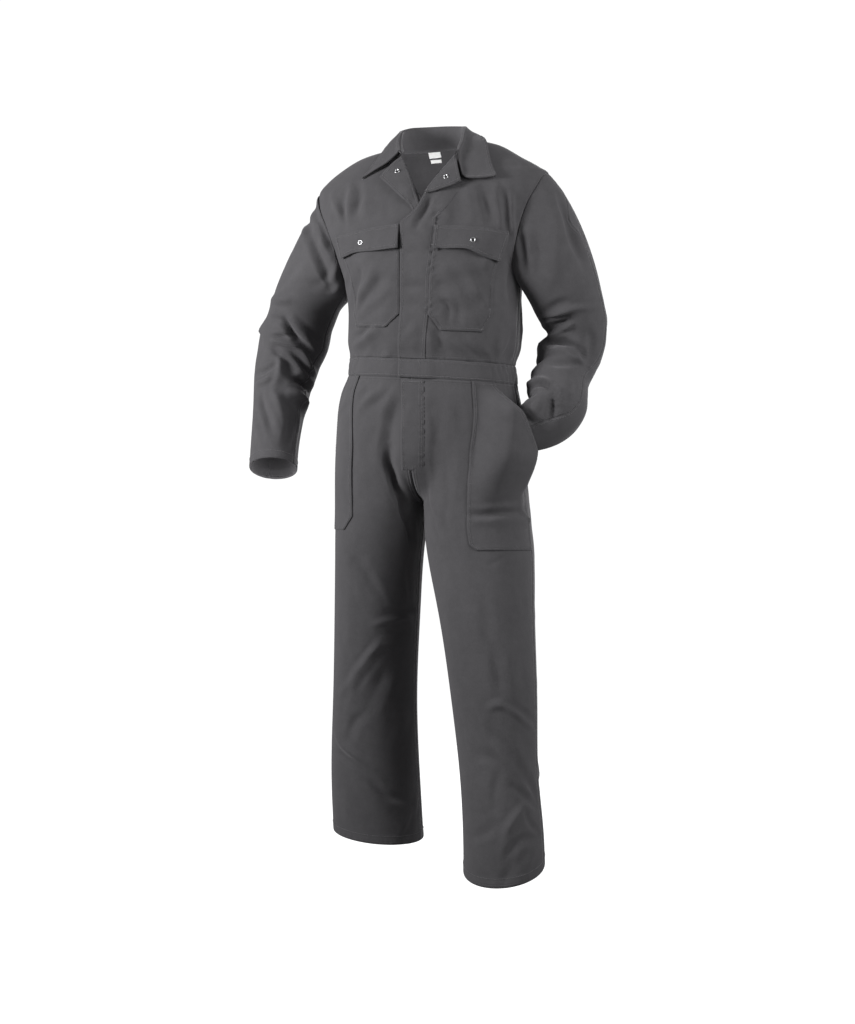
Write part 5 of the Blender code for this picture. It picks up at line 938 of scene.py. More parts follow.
def cloth(node, S, rs, cs, out=0.0, thick=0.0020, sewn="LRBT", free="", hem=0.0, mat=None,
          flat=None, family="none", extra=None, edge=0.0007, inner=True):
    """A closed thin wall over the surface S(r, c) -> points, normals."""
    R, C = np.meshgrid(rs, cs, indexing="ij") if np.ndim(rs) == 1 else (rs, cs)
    P, N = S(R, C)
    hi = out(R, C) if callable(out) else out
    P = P + folded(family, P)
    G = np.cross(np.gradient(P, axis=1), np.gradient(P, axis=0))
    G = unit(G)
    G = G*np.sign(np.sum(G*N, -1, keepdims=True) + 1e-9)
    bad = ~np.isfinite(G).all(-1)
    G[bad] = N[bad]
    N = unit(G + N*0.25)
    dL, dR, dB, dT = measures(P)
    D = {"L": dL, "R": dR, "B": dB, "T": dT}
    up = np.zeros(P.shape[:2]) + hi
    dn = np.zeros(P.shape[:2]) + hi - thick
    near = {k: np.exp(-(D[k]/0.0011)) for k in sewn + free}
    for k in sewn:
        up = up - edge*near[k]
    for k in free:
        if hem > 0:
            w = 1 - smooth((D[k] - hem + 0.0012)/0.0024)
            up = up + 0.00055*w
            dn = dn - 0.00075*w
            up = up - 0.00045*np.exp(-((D[k] - hem)/0.0016)**2)
        up = up - (thick*0.30)*near[k]
        dn = dn + (thick*0.30)*near[k]
    if extra is not None:
        e = extra(R, C, D)
        up = up + e
        dn = dn + e
    top = P + N*up[..., None]
    low = P + N*dn[..., None]
    r, c = P.shape[:2]
    n = r*c
    i = np.arange(n).reshape(r, c)
    a, b, d, e = i[:-1, :-1].ravel(), i[:-1, 1:].ravel(), i[1:, 1:].ravel(), i[1:, :-1].ravel()
    Q = np.stack([a, b, d, e], 1)
    face = np.cross(top.reshape(-1, 3)[Q[:, 1]] - top.reshape(-1, 3)[Q[:, 0]],
                    top.reshape(-1, 3)[Q[:, 3]] - top.reshape(-1, 3)[Q[:, 0]])
    flip = np.sum(face*N.reshape(-1, 3)[Q[:, 0]]) < 0
    if flip:
        Q = Q[:, ::-1]
    ring = np.concatenate([i[0, :-1], i[:-1, -1], i[-1, :0:-1], i[:0:-1, 0]])
    nxt = np.roll(ring, -1)
    rim = np.stack([ring, ring + n, nxt + n, nxt], 1)
    if flip:
        rim = rim[:, ::-1]
    quads = np.concatenate([Q, Q[:, ::-1] + n, rim])
    V = np.concatenate([top.reshape(-1, 3), low.reshape(-1, 3)])
    u = dL + 0.0
    v = dB + 0.0
    uv = np.stack([u.ravel(), v.ravel()], 1)
    big = np.full((r, c), 1.0)
    du = np.minimum(D["L"] if "L" in sewn + free else big, D["R"] if "R" in sewn + free else big)
    dv = np.minimum(D["B"] if "B" in sewn + free else big, D["T"] if "T" in sewn + free else big)
    at = {"du": np.tile(du.ravel(), 2), "dv": np.tile(dv.ravel(), 2),
          "inside": np.concatenate([np.zeros(n), np.ones(n)])}
    ob = mesh("cloth_" + node, V, quads, np.tile(uv, (2, 1)), at, mat or TWILL)
    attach(ob, "root")
    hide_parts(node)
    area = float(np.sum(np.linalg.norm(np.cross(P[1:, :-1] - P[:-1, :-1], P[:-1, 1:] - P[:-1, :-1]), axis=-1)))
    w = float(np.median(dL[:, -1]))
    h = float(np.median(dB[-1]))
    PIECES[node] = dict(ob=ob, P=top, N=N, D=D, area=area, low=low, tris=2*len(quads))
    return ob


def along(node, edge, d, a=0.0, b=1.0, inside=False):
    """A line on a piece, d metres from one edge, between two shares of that edge."""
    p = PIECES[node]
    P = p["low"] if inside else p["P"]
    N = -p["N"] if inside else p["N"]
    D = p["D"][edge]
    if edge in "BT":
        P, N, D = P.transpose(1, 0, 2), N.transpose(1, 0, 2), D.T
    pts, nor = [], []
    n = len(P)
    for i in range(int(round(a*(n-1))), int(round(b*(n-1))) + 1):
        k = np.argsort(D[i])
        dd = D[i][k]
        pts.append([np.interp(d, dd, P[i][k, x]) for x in range(3)])
        nor.append([np.interp(d, dd, N[i][k, x]) for x in range(3)])
    return np.array(pts), unit(np.array(nor))


STITCH = []


def stitch(line, pitch=0.0034, length=0.0024, r=0.00042, lift=0.0001):
    """Small arched thread capsules set along a line of points and normals."""
    P, N = line
    s = np.concatenate([[0], np.cumsum(np.linalg.norm(np.diff(P, axis=0), axis=1))])
    if s[-1] < pitch*2:
        return
    m = int(s[-1]/pitch)
    mid = (np.arange(m) + 0.5)*s[-1]/m
    ends = []
    for f in (-0.5, -0.3, 0.3, 0.5):
        q = mid + f*length
        ends.append(np.stack([np.interp(q, s, P[:, x]) for x in range(3)], -1))
    n = unit(np.stack([np.interp(mid, s, N[:, x]) for x in range(3)], -1))
    t = unit(ends[3] - ends[0])
    b = np.cross(n, t)
    for e, f, k in zip(ends, (-0.6, 0.7, 0.7, -0.6), range(4)):
        e += n*(lift + r*f)
    ringn = 5
    V = [ends[0][:, None]]
    for k in (1, 2):
        a = np.arange(ringn)*2*pi/ringn
        V.append(ends[k][:, None] + r*(b[:, None]*np.cos(a)[:, None] + n[:, None]*np.sin(a)[:, None]))
    V.append(ends[3][:, None])
    STITCH.append(np.concatenate(V, 1))


def sew(name, mat):
    """Joins every stitch made so far into one mesh."""
    V = np.concatenate(STITCH)
    m = len(V)
    q, t = [], []
    for k in range(5):
        j = (k + 1) % 5
        t.append((0, 1 + j, 1 + k))
        q.append((1 + k, 1 + j, 6 + j, 6 + k))
        t.append((6 + k, 6 + j, 11))
    off = (np.arange(m)*12)[:, None, None]
    quads = (np.array(q)[None] + off).reshape(-1, 4)
    tris = (np.array(t)[None] + off).reshape(-1, 3)
    ob = mesh(name, V.reshape(-1, 3), quads, None, None, mat, tris)
    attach(ob, "root")
    STITCH.clear()
    return ob, m*20
# ------------------------------------------------------------------ materials
def nodes_of(m):
    m.use_nodes = True
    t = m.node_tree
    t.nodes.clear()
    return t


class Graph:
    """Short helpers for building a node tree."""

    def __init__(self, mat):
        self.t = nodes_of(mat)

    def n(self, kind, **sockets):
        node = self.t.nodes.new(kind)
        for k, v in sockets.items():
            setattr(node, k, v)
        return node

    def link(self, a, b):
        self.t.links.new(a, b)

    def math(self, op, a, b=None, c=None, clamp=False):
        node = self.t.nodes.new("ShaderNodeMath")
        node.operation = op
        node.use_clamp = clamp
        for i, x in enumerate((a, b, c)):
            if x is None:
                continue
            if isinstance(x, (int, float)):
                node.inputs[i].default_value = x
            else:
                self.link(x, node.inputs[i])
        return node.outputs[0]

    def attr(self, name):
        node = self.n("ShaderNodeAttribute", attribute_name=name, attribute_type="GEOMETRY")
        return node.outputs["Fac"]

    def noise(self, vec, scale, detail=2.0, rough=0.5, dim="3D"):
        node = self.n("ShaderNodeTexNoise", noise_dimensions=dim)
        node.inputs["Scale"].default_value = scale
        node.inputs["Detail"].default_value = detail
        node.inputs["Roughness"].default_value = rough
        self.link(vec, node.inputs["Vector"])
        return node.outputs["Fac"]

    def vec(self, x, y, z=0.0):
        node = self.n("ShaderNodeCombineXYZ")
        for i, v in enumerate((x, y, z)):
            if isinstance(v, (int, float)):
                node.inputs[i].default_value = v
            else:
                self.link(v, node.inputs[i])
        return node.outputs[0]

    def mix(self, fac, a, b):
        node = self.n("ShaderNodeMix", data_type="RGBA")
        for s, v in ((node.inputs[0], fac), (node.inputs[6], a), (node.inputs[7], b)):
            if isinstance(v, (int, float)):
                s.default_value = v
            elif isinstance(v, tuple):
                s.default_value = (*v, 1.0)
            else:
                self.link(v, s)
        return node.outputs[2]


def twill(name, base, dark, light, rough=0.88, sheen=0.25, seams=True):
    """Cotton twill: diagonal ribs, yarn grain, soft mottling, puckered seams, edges lighter from wear and a
    painted highlight, and painted shade in the seam grooves.
    """
    m = bpy.data.materials.new(name)
    g = Graph(m)
    out = g.n("ShaderNodeOutputMaterial")
    b = g.n("ShaderNodeBsdfPrincipled")
    g.link(b.outputs[0], out.inputs[0])
    uv = g.n("ShaderNodeUVMap", uv_map="UVMap").outputs[0]
    sep = g.n("ShaderNodeSeparateXYZ")
    g.link(uv, sep.inputs[0])
    u, v = sep.outputs[0], sep.outputs[1]
    pos = g.n("ShaderNodeTexCoord").outputs["Object"]
    # ribs 1.3 mm apart, yarns along them
    rib = g.math("SINE", g.math("MULTIPLY", g.math("ADD", u, g.math("MULTIPLY", v, 0.62)), 2*pi/0.0013))
    yarn = g.noise(g.vec(g.math("MULTIPLY", u, 1500.0), g.math("MULTIPLY", v, 900.0)), 1.0, 2.0)
    broad = g.noise(pos, 7.0, 3.0, 0.6)
    mid = g.noise(pos, 55.0, 4.0, 0.62)
    fine = g.noise(pos, 420.0, 2.0, 0.6)
    tone = g.math("ADD", g.math("MULTIPLY", broad, 0.34), g.math("MULTIPLY", mid, 0.36))
    tone = g.math("ADD", tone, g.math("MULTIPLY", fine, 0.30))
    col = g.mix(tone, dark, light)
    h = g.math("MULTIPLY", rib, 0.00003)
    h = g.math("ADD", h, g.math("MULTIPLY", yarn, 0.00007))
    h = g.math("ADD", h, g.math("MULTIPLY", mid, 0.00045))
    if seams:
        du, dv = g.attr("du"), g.attr("dv")
        for d, a, seed in ((du, v, 3.0), (dv, u, 9.0)):
            fall = g.math("POWER", 2.718, g.math("MULTIPLY", g.math("ABSOLUTE", g.math(
                "SUBTRACT", d, 0.0045)), -1/0.0060))
            puck = g.noise(g.vec(g.math("MULTIPLY", a, 105.0), g.math("MULTIPLY", d, 34.0), seed),
                           1.0, 2.0, 0.55)
            h = g.math("ADD", h, g.math("MULTIPLY", g.math("MULTIPLY", puck, fall), 0.0021))
            # lighter near the panel edges: partly wear, partly a painted highlight where the raised edge
            # catches the light
            groove = g.math("POWER", 2.718, g.math("MULTIPLY", d, -1/0.0012))
            wear_and_edge_highlight = g.math("MULTIPLY", g.math("MULTIPLY", groove, puck), 0.28, clamp=True)
            col = g.mix(wear_and_edge_highlight, col, tuple(min(1, x*1.9) for x in light))
            # painted shade: the colour darkens in the seam groove, within about a millimetre of the panel edge
            groove_shade = g.math("MULTIPLY", g.math("POWER", 2.718, g.math("MULTIPLY", d, -1/0.0007)), 0.62,
                         clamp=True)
            col = g.mix(groove_shade, col, tuple(x*0.35 for x in dark))
            st = g.math("POWER", 2.718, g.math("MULTIPLY", g.math("POWER", g.math(
                "MULTIPLY", g.math("SUBTRACT", d, 0.0060), 1/0.0011), 2.0), -1.0))
            h = g.math("SUBTRACT", h, g.math("MULTIPLY", st, 0.00035))
    bump = g.n("ShaderNodeBump")
    bump.inputs["Strength"].default_value = 1.0
    bump.inputs["Distance"].default_value = 1.0
    g.link(h, bump.inputs["Height"])
    g.link(bump.outputs[0], b.inputs["Normal"])
    g.link(col, b.inputs["Base Color"])
    b.inputs["Roughness"].default_value = rough
    b.inputs["Specular IOR Level"].default_value = 0.22
    b.inputs["Sheen Weight"].default_value = sheen
    b.inputs["Sheen Roughness"].default_value = 0.45
    b.inputs["Sheen Tint"].default_value = (0.9, 0.88, 0.92, 1)
    m.diffuse_color = (*base, 1)
    return m


def plain(name, rgb, rough, metallic=0.0, grain=0.0, scale=600.0):
    m = bpy.data.materials.new(name)
    g = Graph(m)
    out = g.n("ShaderNodeOutputMaterial")
    b = g.n("ShaderNodeBsdfPrincipled")
    g.link(b.outputs[0], out.inputs[0])
    pos = g.n("ShaderNodeTexCoord").outputs["Object"]
    f = g.noise(pos, scale, 3.0)
    col = g.mix(f, tuple(x*(1 - grain) for x in rgb), tuple(min(1, x*(1 + grain)) for x in rgb))
    g.link(col, b.inputs["Base Color"])
    bump = g.n("ShaderNodeBump")
    bump.inputs["Distance"].default_value = 1.0
    bump.inputs["Strength"].default_value = 1.0
    g.link(g.math("MULTIPLY", f, 0.00006), bump.inputs["Height"])
    g.link(bump.outputs[0], b.inputs["Normal"])
    b.inputs["Roughness"].default_value = rough
    b.inputs["Metallic"].default_value = metallic
    m.diffuse_color = (*rgb, 1)
    return m


TWILL = twill("twill", (0.075, 0.073, 0.077), (0.041, 0.0397, 0.0425), (0.099, 0.0963, 0.1017))
THREAD = plain("thread", (0.170, 0.166, 0.174), 0.75, 0.0, 0.12, 900.0)
METAL = plain("snap_metal", (0.52, 0.52, 0.53), 0.38, 1.0, 0.04, 220.0)
PIT = plain("snap_pit", (0.085, 0.085, 0.088), 0.50, 1.0, 0.06, 220.0)
TAPE = plain("woven_tape", (0.93, 0.93, 0.92), 0.75, 0.0, 0.03, 1800.0)

FRONT_STEP, BACK_STEP = 0.0036, 0.0046


# ---------------------------------------------------------------- the bodice
def front_tables(side):
    inner = np.array(TURNS[side], float)
    rows, phis = [], []
    for r, (m, p, s) in enumerate(BODICE[side]):
        if s is None:
            phi = PHI_LOW[r - 5]
            out, s = armhole(1, phi)
            phis.append(phi)
        else:
            out = 90.0
            phis.append(180 if r == 5 else np.nan)
        t = np.concatenate([inner, inner[-1] + (out - inner[-1])*np.array([0.34, 0.68, 1.0])])
        k = np.where(t <= inner[-1], m + (p - m)*np.clip(t/inner[-1], 0, 1)**1.4,
                     p + (s - p)*smooth((t - inner[-1])/(out - inner[-1])))
        rows.append((t, k))
    t0, k0 = rows[-1]
    u = (t0 - t0[0])/(t0[-1] - t0[0])
    top_k = np.interp(u, np.linspace(0, 1, 6), SEAM_RUNS[::-1])
    for n, phi in enumerate(PHI_UP):
        q = (n + 1)/len(PHI_UP)
        lt, lk = float(NECKLINE[side]("turn", q)), float(NECKLINE[side]("run", q))
        rt, rk = armhole(1, phi)
        t = ((1-q)*t0 + q*90 + (1-u)*lt + u*rt
             - ((1-u)*(1-q)*t0[0] + u*(1-q)*t0[-1] + (1-u)*q*90 + u*q*90))
        k = ((1-q)*k0 + q*top_k + (1-u)*lk + u*rk
             - ((1-u)*(1-q)*k0[0] + u*(1-q)*k0[-1] + (1-u)*q*top_k[0] + u*q*top_k[-1]))
        rows.append((t, k))
        phis.append(phi)
    return np.array([r[0] for r in rows]), np.array([r[1] for r in rows]), np.array(phis[5:], float)


FT = {s: front_tables(s) for s in (1, -1)}


def front_lift(side, turn):
    return LIFT*(1 - smooth((turn - 9)/8)) if side > 0 else 0*turn


def front(side):
    TA, TK, phis = FT[side]

    def S(r, c):
        r, c = np.broadcast_arrays(np.asarray(r, float), np.asarray(c, float))
        A, K = bil(TA, r, c), bil(TK, r, c)
        ea, ek = armhole(1, np.interp(r, np.arange(5, 15), phis))
        w = np.clip((c - 7)/3, 0, 1)*(r >= 5)
        ten = np.full(r.shape, 10.0)
        da, dk = (ea - bil(TA, r, ten))*w, (ek - bil(TK, r, ten))*w
        q = np.clip((r - 10)/4, 0, 1)
        w = np.clip(1 - c/4, 0, 1)*(r > 10)
        zero = np.zeros(r.shape)
        A = A + da + (NECKLINE[side]("turn", q) - bil(TA, r, zero))*w
        K = K + dk + (NECKLINE[side]("run", q) - bil(TK, r, zero))*w
        P = trunk(side*A, K)
        N = normals(trunk, side*A, K, 0.4, 0.002, 1.0)
        return P + N*front_lift(side, A)[..., None], N
    return S


S = front(-1)
rs = samples(S, 0, 0, 14, 1, 9, FRONT_STEP, (0.001, 0.0025), (0.001, 0.0025))
cs = samples(S, 1, 0, 10, 2, 9, FRONT_STEP, (0.001, 0.0025), (0.001, 0.0025))
cloth("front_right", S, rs, cs, family="T")
S = front(+1)
rs = samples(S, 0, 0, 14, 1, 9, FRONT_STEP, (0.001, 0.0025), (0.001, 0.0025))
cs = samples(S, 1, 0, 10, 2, 9, FRONT_STEP, (0.001, 0.0025), (0.001, 0.0025))
cloth("front_left", S, rs, cs, family="T", sewn="RBT", free="L")

BACK_FRAC = np.array([0, 0.12, 0.25, 0.38, 0.50, 0.62, 0.75, 0.88, 1.0])


def back_tables(side):
    frac, rows = BACK_FRAC, []
    runs = [(0.038, None), (BODICE[side][1][2], None), (BODICE[side][2][2], None),
            (BODICE[side][3][2], None), (0.155, None), (0.188, 180)]
    for k, phi in runs:
        rows.append((90 + 90*frac, np.full(9, k)))
    for phi in PHI_LOW[1:]:
        out, k = armhole(1, 360 - phi)
        rows.append((out + (180 - out)*frac, np.full(9, k)))
    t0, k0 = rows[-1]
    u = frac
    top_t = np.concatenate([np.full(6, 90.0), 90 + 90*np.array([0.36, 0.70, 1.0])])
    top_k = np.concatenate([SEAM_RUNS, np.full(3, NECK_RUN)])
    for n, phi in enumerate(PHI_UP):
        q = (n + 1)/len(PHI_UP)
        lt, lk = armhole(1, 360 - phi)
        rt, rk = 180.0, k0[-1] + (NECK_RUN - k0[-1])*q
        t = ((1-q)*t0 + q*top_t + (1-u)*lt + u*rt
             - ((1-u)*(1-q)*t0[0] + u*(1-q)*t0[-1] + (1-u)*q*top_t[0] + u*q*top_t[-1]))
        k = ((1-q)*k0 + q*top_k + (1-u)*lk + u*rk
             - ((1-u)*(1-q)*k0[0] + u*(1-q)*k0[-1] + (1-u)*q*top_k[0] + u*q*top_k[-1]))
        rows.append((t, k))
    return np.array([r[0] for r in rows]), np.array([r[1] for r in rows])


BT = back_tables(-1)


def back(r, c):
    r, c = np.broadcast_arrays(np.asarray(r, float), np.asarray(c, float))
    side = np.where(c <= 8, -1.0, 1.0)
    k = np.where(c <= 8, c, 16 - c)
    A, K = bil(BT[0], r, k), bil(BT[1], r, k)
    phi = np.interp(r, np.arange(5, 15), list(PHI_LOW) + list(PHI_UP))
    ea, ek = armhole(1, 360 - phi)
    w = np.clip(1 - k/3, 0, 1)*(r >= 5)
    zero = np.zeros(r.shape)
    A = A + (ea - bil(BT[0], r, zero))*w
    K = K + (ek - bil(BT[1], r, zero))*w
    return trunk(side*A, K), normals(trunk, side*A, K, 0.4, 0.002, 1.0)


rs = samples(back, 0, 0, 14, 2, 14, BACK_STEP, (0.001, 0.0025), (0.001, 0.0025))
cs = samples(back, 1, 0, 16, 2, 9, BACK_STEP, (0.001, 0.0025), (0.001, 0.0025))
cloth("back", back, rs, cs, family="T")


# ------------------------------------------- placket, chest pockets, flaps
def lying(S, lift):
    """The same surface raised by lift(r, c)."""
    def F(r, c):
        P, N = S(r, c)
        h = lift(r, c) if callable(lift) else lift
        return P + N*np.asarray(h)[..., None] if np.ndim(h) else P + N*h, N
    return F


def placket(r, c):
    """Along the free edge from the waistband to the lapel, sinking at its sewn side."""
    P, N = front(+1)(r, c)
    h = LAY + PATCH*(0.64 + 0.36*(1 - smooth((np.asarray(c) - 1.0)/0.9)))
    h = h*(1 - 0.8*smooth((np.asarray(r) - 10.0)/0.9))
    return P + N*np.asarray(h)[..., None], N


rs = samples(placket, 0, 0, 11.3, 0, 2, 0.0036, (0.001, 0.0025), (0.001, 0.0025))
cs = samples(placket, 1, 0, 2, 1, 9, 0.0034, (0.0008, 0.002), (0.0008, 0.002))
cloth("placket", placket, rs, cs, thick=0.0009, family="T", sewn="", free="L", hem=0.0,
      edge=0.0006)


def shaped(rs_n, lo, hi, r0, r1, ncols):
    """Grid whose left and right limits change with the row."""
    r = np.linspace(r0, r1, rs_n)
    s = np.linspace(0, 1, ncols)
    R = np.repeat(r[:, None], ncols, 1)
    C = lo(r)[:, None]*(1 - s) + hi(r)[:, None]*s
    return R, C


def edged(n, length, near):
    """n even steps over 0..1, with extra lines at `near` metres from both ends."""
    t = np.linspace(near[-1]/length, 1 - near[-1]/length, n)
    a = np.array([0] + list(near[:-1]))/length
    return np.concatenate([a, t, 1 - a[::-1]])


for side, name in ((+1, "left"), (-1, "right")):
    base = front(side)
    t = edged(46, 0.20, (0.001, 0.0025))
    s = edged(34, 0.145, (0.001, 0.0025))
    r = 2 + 7*t
    lo = 2 + np.clip(3 - r, 0, 1)
    hi = 7 - np.clip(3 - r, 0, 1)
    R = np.repeat(r[:, None], len(s), 1)
    C = lo[:, None]*(1 - s) + hi[:, None]*s

    def slack(Rr, Cc, D, side=side):
        m = np.minimum(np.minimum(D["L"], D["R"]), D["B"])
        a = smooth(m/0.035)
        return a*(0.0022 + 0.0016*np.sin(Cc*2.1 + Rr*0.9 + side) + 0.0012*np.sin(Rr*2.7 - Cc))

    cloth("chest_pocket_" + name, lying(base, LAY + PATCH), R, C, thick=PATCH, family="T",
          sewn="", free="LRBT", hem=0.0075, extra=slack)
    FLAPWAVE = {+1: lambda c: 8.02 - 0.10*np.exp(-((c - 5.6)/0.9)**2) + 0.10*np.exp(-((c - 3.9)/0.8)**2),
                -1: lambda c: 8.02 + 0.09*np.exp(-((c - 4.6)/0.9)**2)}[side]
    s = edged(34, 0.145, (0.001, 0.0025))
    t = edged(13, 0.06, (0.001, 0.0025))
    c = 2 + 5*s
    lo = FLAPWAVE(c)
    C = np.repeat(c[None], len(t), 0)
    R = lo[None]*(1 - t[:, None]) + 9*t[:, None]

    def stand(Rr, Cc, side=side):
        low = np.clip(9 - Rr, 0, 1)
        h = LAY*2 + PATCH*2 + 0.0016 + (0.0010 + 0.0034*low)*(1.25 - 0.13*(Cc - 2))
        h = h + low*0.0022*np.sin(Cc*1.9 + (0.5 if side > 0 else 2.2))
        if side < 0:
            h = h + 0.0040*low*np.exp(-((Cc - 2)/0.8)**2)
        return h

    cloth("chest_flap_" + name, base, R, C, out=stand, thick=PATCH, family="T",
          sewn="T", free="LRB", hem=0.0070)


# ---------------------------------------------------------------- waistband
def band(side):
    def S(k, t):
        k, t = np.broadcast_arrays(np.asarray(k, float), np.asarray(t, float))
        P = trunk(side*t, k)
        N = normals(trunk, side*t, k, 0.4, 0.002, 1.0)
        N[..., 2] = 0
        N = unit(N)
        return P + N*front_lift(side, t)[..., None], N
    return S


def puffed(R, C, D):
    return 0.0013*np.sin(pi*np.clip((R - WAIST_LOW)/(WAIST_TOP - WAIST_LOW), 0, 1)) - 0.0002


for side, name, t0 in ((+1, "left", EDGE_TURN), (-1, "right", UNDER_TURN)):
    S = band(side)
    rs = samples(S, 0, WAIST_LOW, WAIST_TOP, t0, 90, 0.0036, (0.001, 0.0025), (0.001, 0.0025))
    cs = samples(S, 1, t0, 90, WAIST_LOW, WAIST_TOP, 0.0038, (0.001, 0.0025), (0.001, 0.0025))
    cloth("waistband_front_" + name, S, rs, cs, family="W", extra=puffed)
S = band(-1)
rs = samples(S, 0, WAIST_LOW, WAIST_TOP, 90, 270, 0.0036, (0.001, 0.0025), (0.001, 0.0025))
cs = samples(S, 1, 90, 270, WAIST_LOW, WAIST_TOP, 0.0040, (0.001, 0.0025), (0.001, 0.0025))
cloth("waistband_back", S, rs, cs, family="W", extra=puffed)

WAIST_TURNS = [40, 51, 61, 69.3, 77.4, 90]

# ----------------------------------------------------------------- trousers
ZI = np.array([r[0] for r in LEG_ROWS])
ZO = np.array([r[1] for r in LEG_ROWS])


def hem_drop(side, psi):
    mid, fr, inside = HEM[side]
    return mid - fr*np.sin(2*pi*psi) - inside*np.cos(2*pi*psi)


def leg_at(side, which, r, c):
    r, c = np.broadcast_arrays(np.asarray(r, float), np.asarray(c, float))
    k = np.arange(len(ZI))
    zi, zo = np.interp(r, k, ZI), np.interp(r, k, ZO)
    if which == "back":
        psi = 0.5 + 0.5*np.interp(c, np.arange(9), 1 - BACK_FRAC[::-1])
    else:
        p = PATCH_TURN[side]("psi", zi)
        first = np.interp(c, np.arange(5), np.array(TURNS[side][1:5] + [40])/40)*p
        last = np.interp(c, np.arange(4, 10), (np.array(WAIST_TURNS)/180 - 0.2222)/(0.5 - 0.2222))
        psi = np.where(c <= 4, first, p + (0.5 - p)*last)
    d = np.minimum(psi, 1 - psi)
    z = zo + (zi - zo)*(1 - smooth(d/0.25))
    low = np.clip((-z - 1.05)/(1.40 - 1.05), 0, 1)
    return psi, z + (hem_drop(side, psi) + 1.40)*low


def trouser(side, which):
    def S(r, c):
        psi, z = leg_at(side, which, r, c)

        def f(a, b):
            return leg(side, a, b)
        return f(psi, z), normals(f, psi, z, 0.002, 0.002, side)
    return S


for side, name, fam in ((+1, "left", "L"), (-1, "right", "R")):
    for which, step, cols in (("front", FRONT_STEP, 9), ("back", BACK_STEP, 8)):
        S = trouser(side, which)
        rs = samples(S, 0, 0, 17, 0.5, cols - 0.5, step, (0.001, 0.0025), (0.001, 0.0025, 0.017, 0.019))
        cs = samples(S, 1, 0, cols, 3, 15, step, (0.001, 0.0025), (0.001, 0.0025))

        def hemmed(R, C, D):
            w = 1 - smooth((D["T"] - 0.0185)/0.0022)
            return 0.0006*w - 0.0005*np.exp(-((D["T"] - 0.0190)/0.0018)**2)
        cloth("trouser_%s_%s" % (which, name), S, rs, cs, family=fam, sewn="LRB", free="T",
              extra=hemmed)


# --------------------------------------------------------- fly, hip pockets
def on_hips(x, z):
    """psi on each leg's front where the trousers have this x at this height."""
    side = np.where(x >= MID_X("x", z), 1, -1)
    a, b = np.zeros(x.shape), np.full(x.shape, 0.25)
    for _ in range(30):
        m = (a + b)/2
        px = np.where(side > 0, leg(+1, m, z)[..., 0], leg(-1, m, z)[..., 0])
        less = side*(px - x) < 0
        a, b = np.where(less, m, a), np.where(less, b, m)
    m = (a + b)/2
    P = np.where((side > 0)[..., None], leg(+1, m, z), leg(-1, m, z))
    return P


FLY_T = Table(("z", "x0", "x1", "off"), FLY)


def fly(r, c):
    r, c = np.broadcast_arrays(np.asarray(r, float), np.asarray(c, float))
    z = r
    x = FLY_T("x0", z)*(1 - c) + FLY_T("x1", z)*c
    P = on_hips(x, z)
    tilt = np.stack([0.10 + 0*x, -1 + 0*x, 0.05 + 0*x], -1)
    N = unit(tilt)
    off = (0.0016 + 0.10*FLY_T("off", z))*(0.25 + 0.75*smooth((z - FLY_T.k[0])/0.012))*(1 - 0.65*smooth((c - 0.72)/0.26))
    return P + N*off[..., None], N


def smooth_grid(P, n):
    for _ in range(n):
        Q = P.copy()
        Q[1:-1] = (P[:-2] + 2*P[1:-1] + P[2:])/4
        P = Q
        Q = P.copy()
        Q[:, 1:-1] = (P[:, :-2] + 2*P[:, 1:-1] + P[:, 2:])/4
        P = Q
    return P


_fly_r = np.linspace(FLY_T.k[-1], FLY_T.k[0], 50)
_fly_c = edged(16, 0.055, (0.0008, 0.002))
_R, _C = np.meshgrid(_fly_r, _fly_c, indexing="ij")
_P, _N = fly(_R, _C)
_P = smooth_grid(_P, 14)


def ripples(R, C, D):
    e = np.exp(-D["R"]/0.011)
    return 0.0009*e*np.sin(-R*2*pi/0.011 + 3*np.sin(R*90)) + 0.0003*np.sin(-R*2*pi/0.02)*np.exp(-D["L"]/0.010)


cloth("fly", lambda r, c: (_P, _N), _R, _C, thick=0.0010, family="LR", sewn="T", free="LRB",
      extra=ripples)

for side, name, fam in ((+1, "left", "L"), (-1, "right", "R")):
    S = trouser(side, "front")
    t = edged(76, 0.33, (0.001, 0.0025))
    s = edged(34, 0.15, (0.001, 0.0025))
    r = (7 if side > 0 else 6)*t
    lo = 4 + (np.clip((r - 5.35)/0.65, 0, 1)*0.8 if side < 0 else
              np.clip((r - 6.72)/0.28, 0, 1)*0.35)
    hi = np.minimum(9, 6 + r)
    R = np.repeat(r[:, None], len(s), 1)
    C = lo[:, None]*(1 - s) + hi[:, None]*s

    def lift(R, C, side=side):
        psi, z = leg_at(side, "front", R, C)
        bulge = pocket_bulge(psi, z)
        h = LAY + PATCH + (bulge if side > 0 else 0.10*bulge)
        if side > 0:
            h = h - 0.0035*np.exp(-((z + 0.727)/0.007)**2)*smooth((psi - 0.25)/0.05) \
                + 0.0030*np.exp(-((z + 0.742)/0.010)**2)*smooth((psi - 0.25)/0.05)
            h = np.maximum(h, LAY + PATCH)
        return h
    cloth("hip_pocket_" + name, lying(S, lift), R, C, thick=PATCH, family=fam, sewn="RT",
          free="LB", hem=0.0075)

# ------------------------------------------------------------------ sleeves
SLEEVE_END = {+1: 0.610, -1: 0.600}


def sleeve_surface(side, under):
    def f(a, b):
        return sleeve(side, a, b)

    def S(s, c):
        s, c = np.broadcast_arrays(np.asarray(s, float), np.asarray(c, float))
        b, u = SEAMS[side]("behind", s), SEAMS[side]("under", s)
        phi = u + (b - u)*c if under else b - 360 + (u - b + 360)*c
        N = normals(f, phi, np.maximum(s, 0.004), 0.6, 0.003, side)
        return f(phi, s), N
    return S


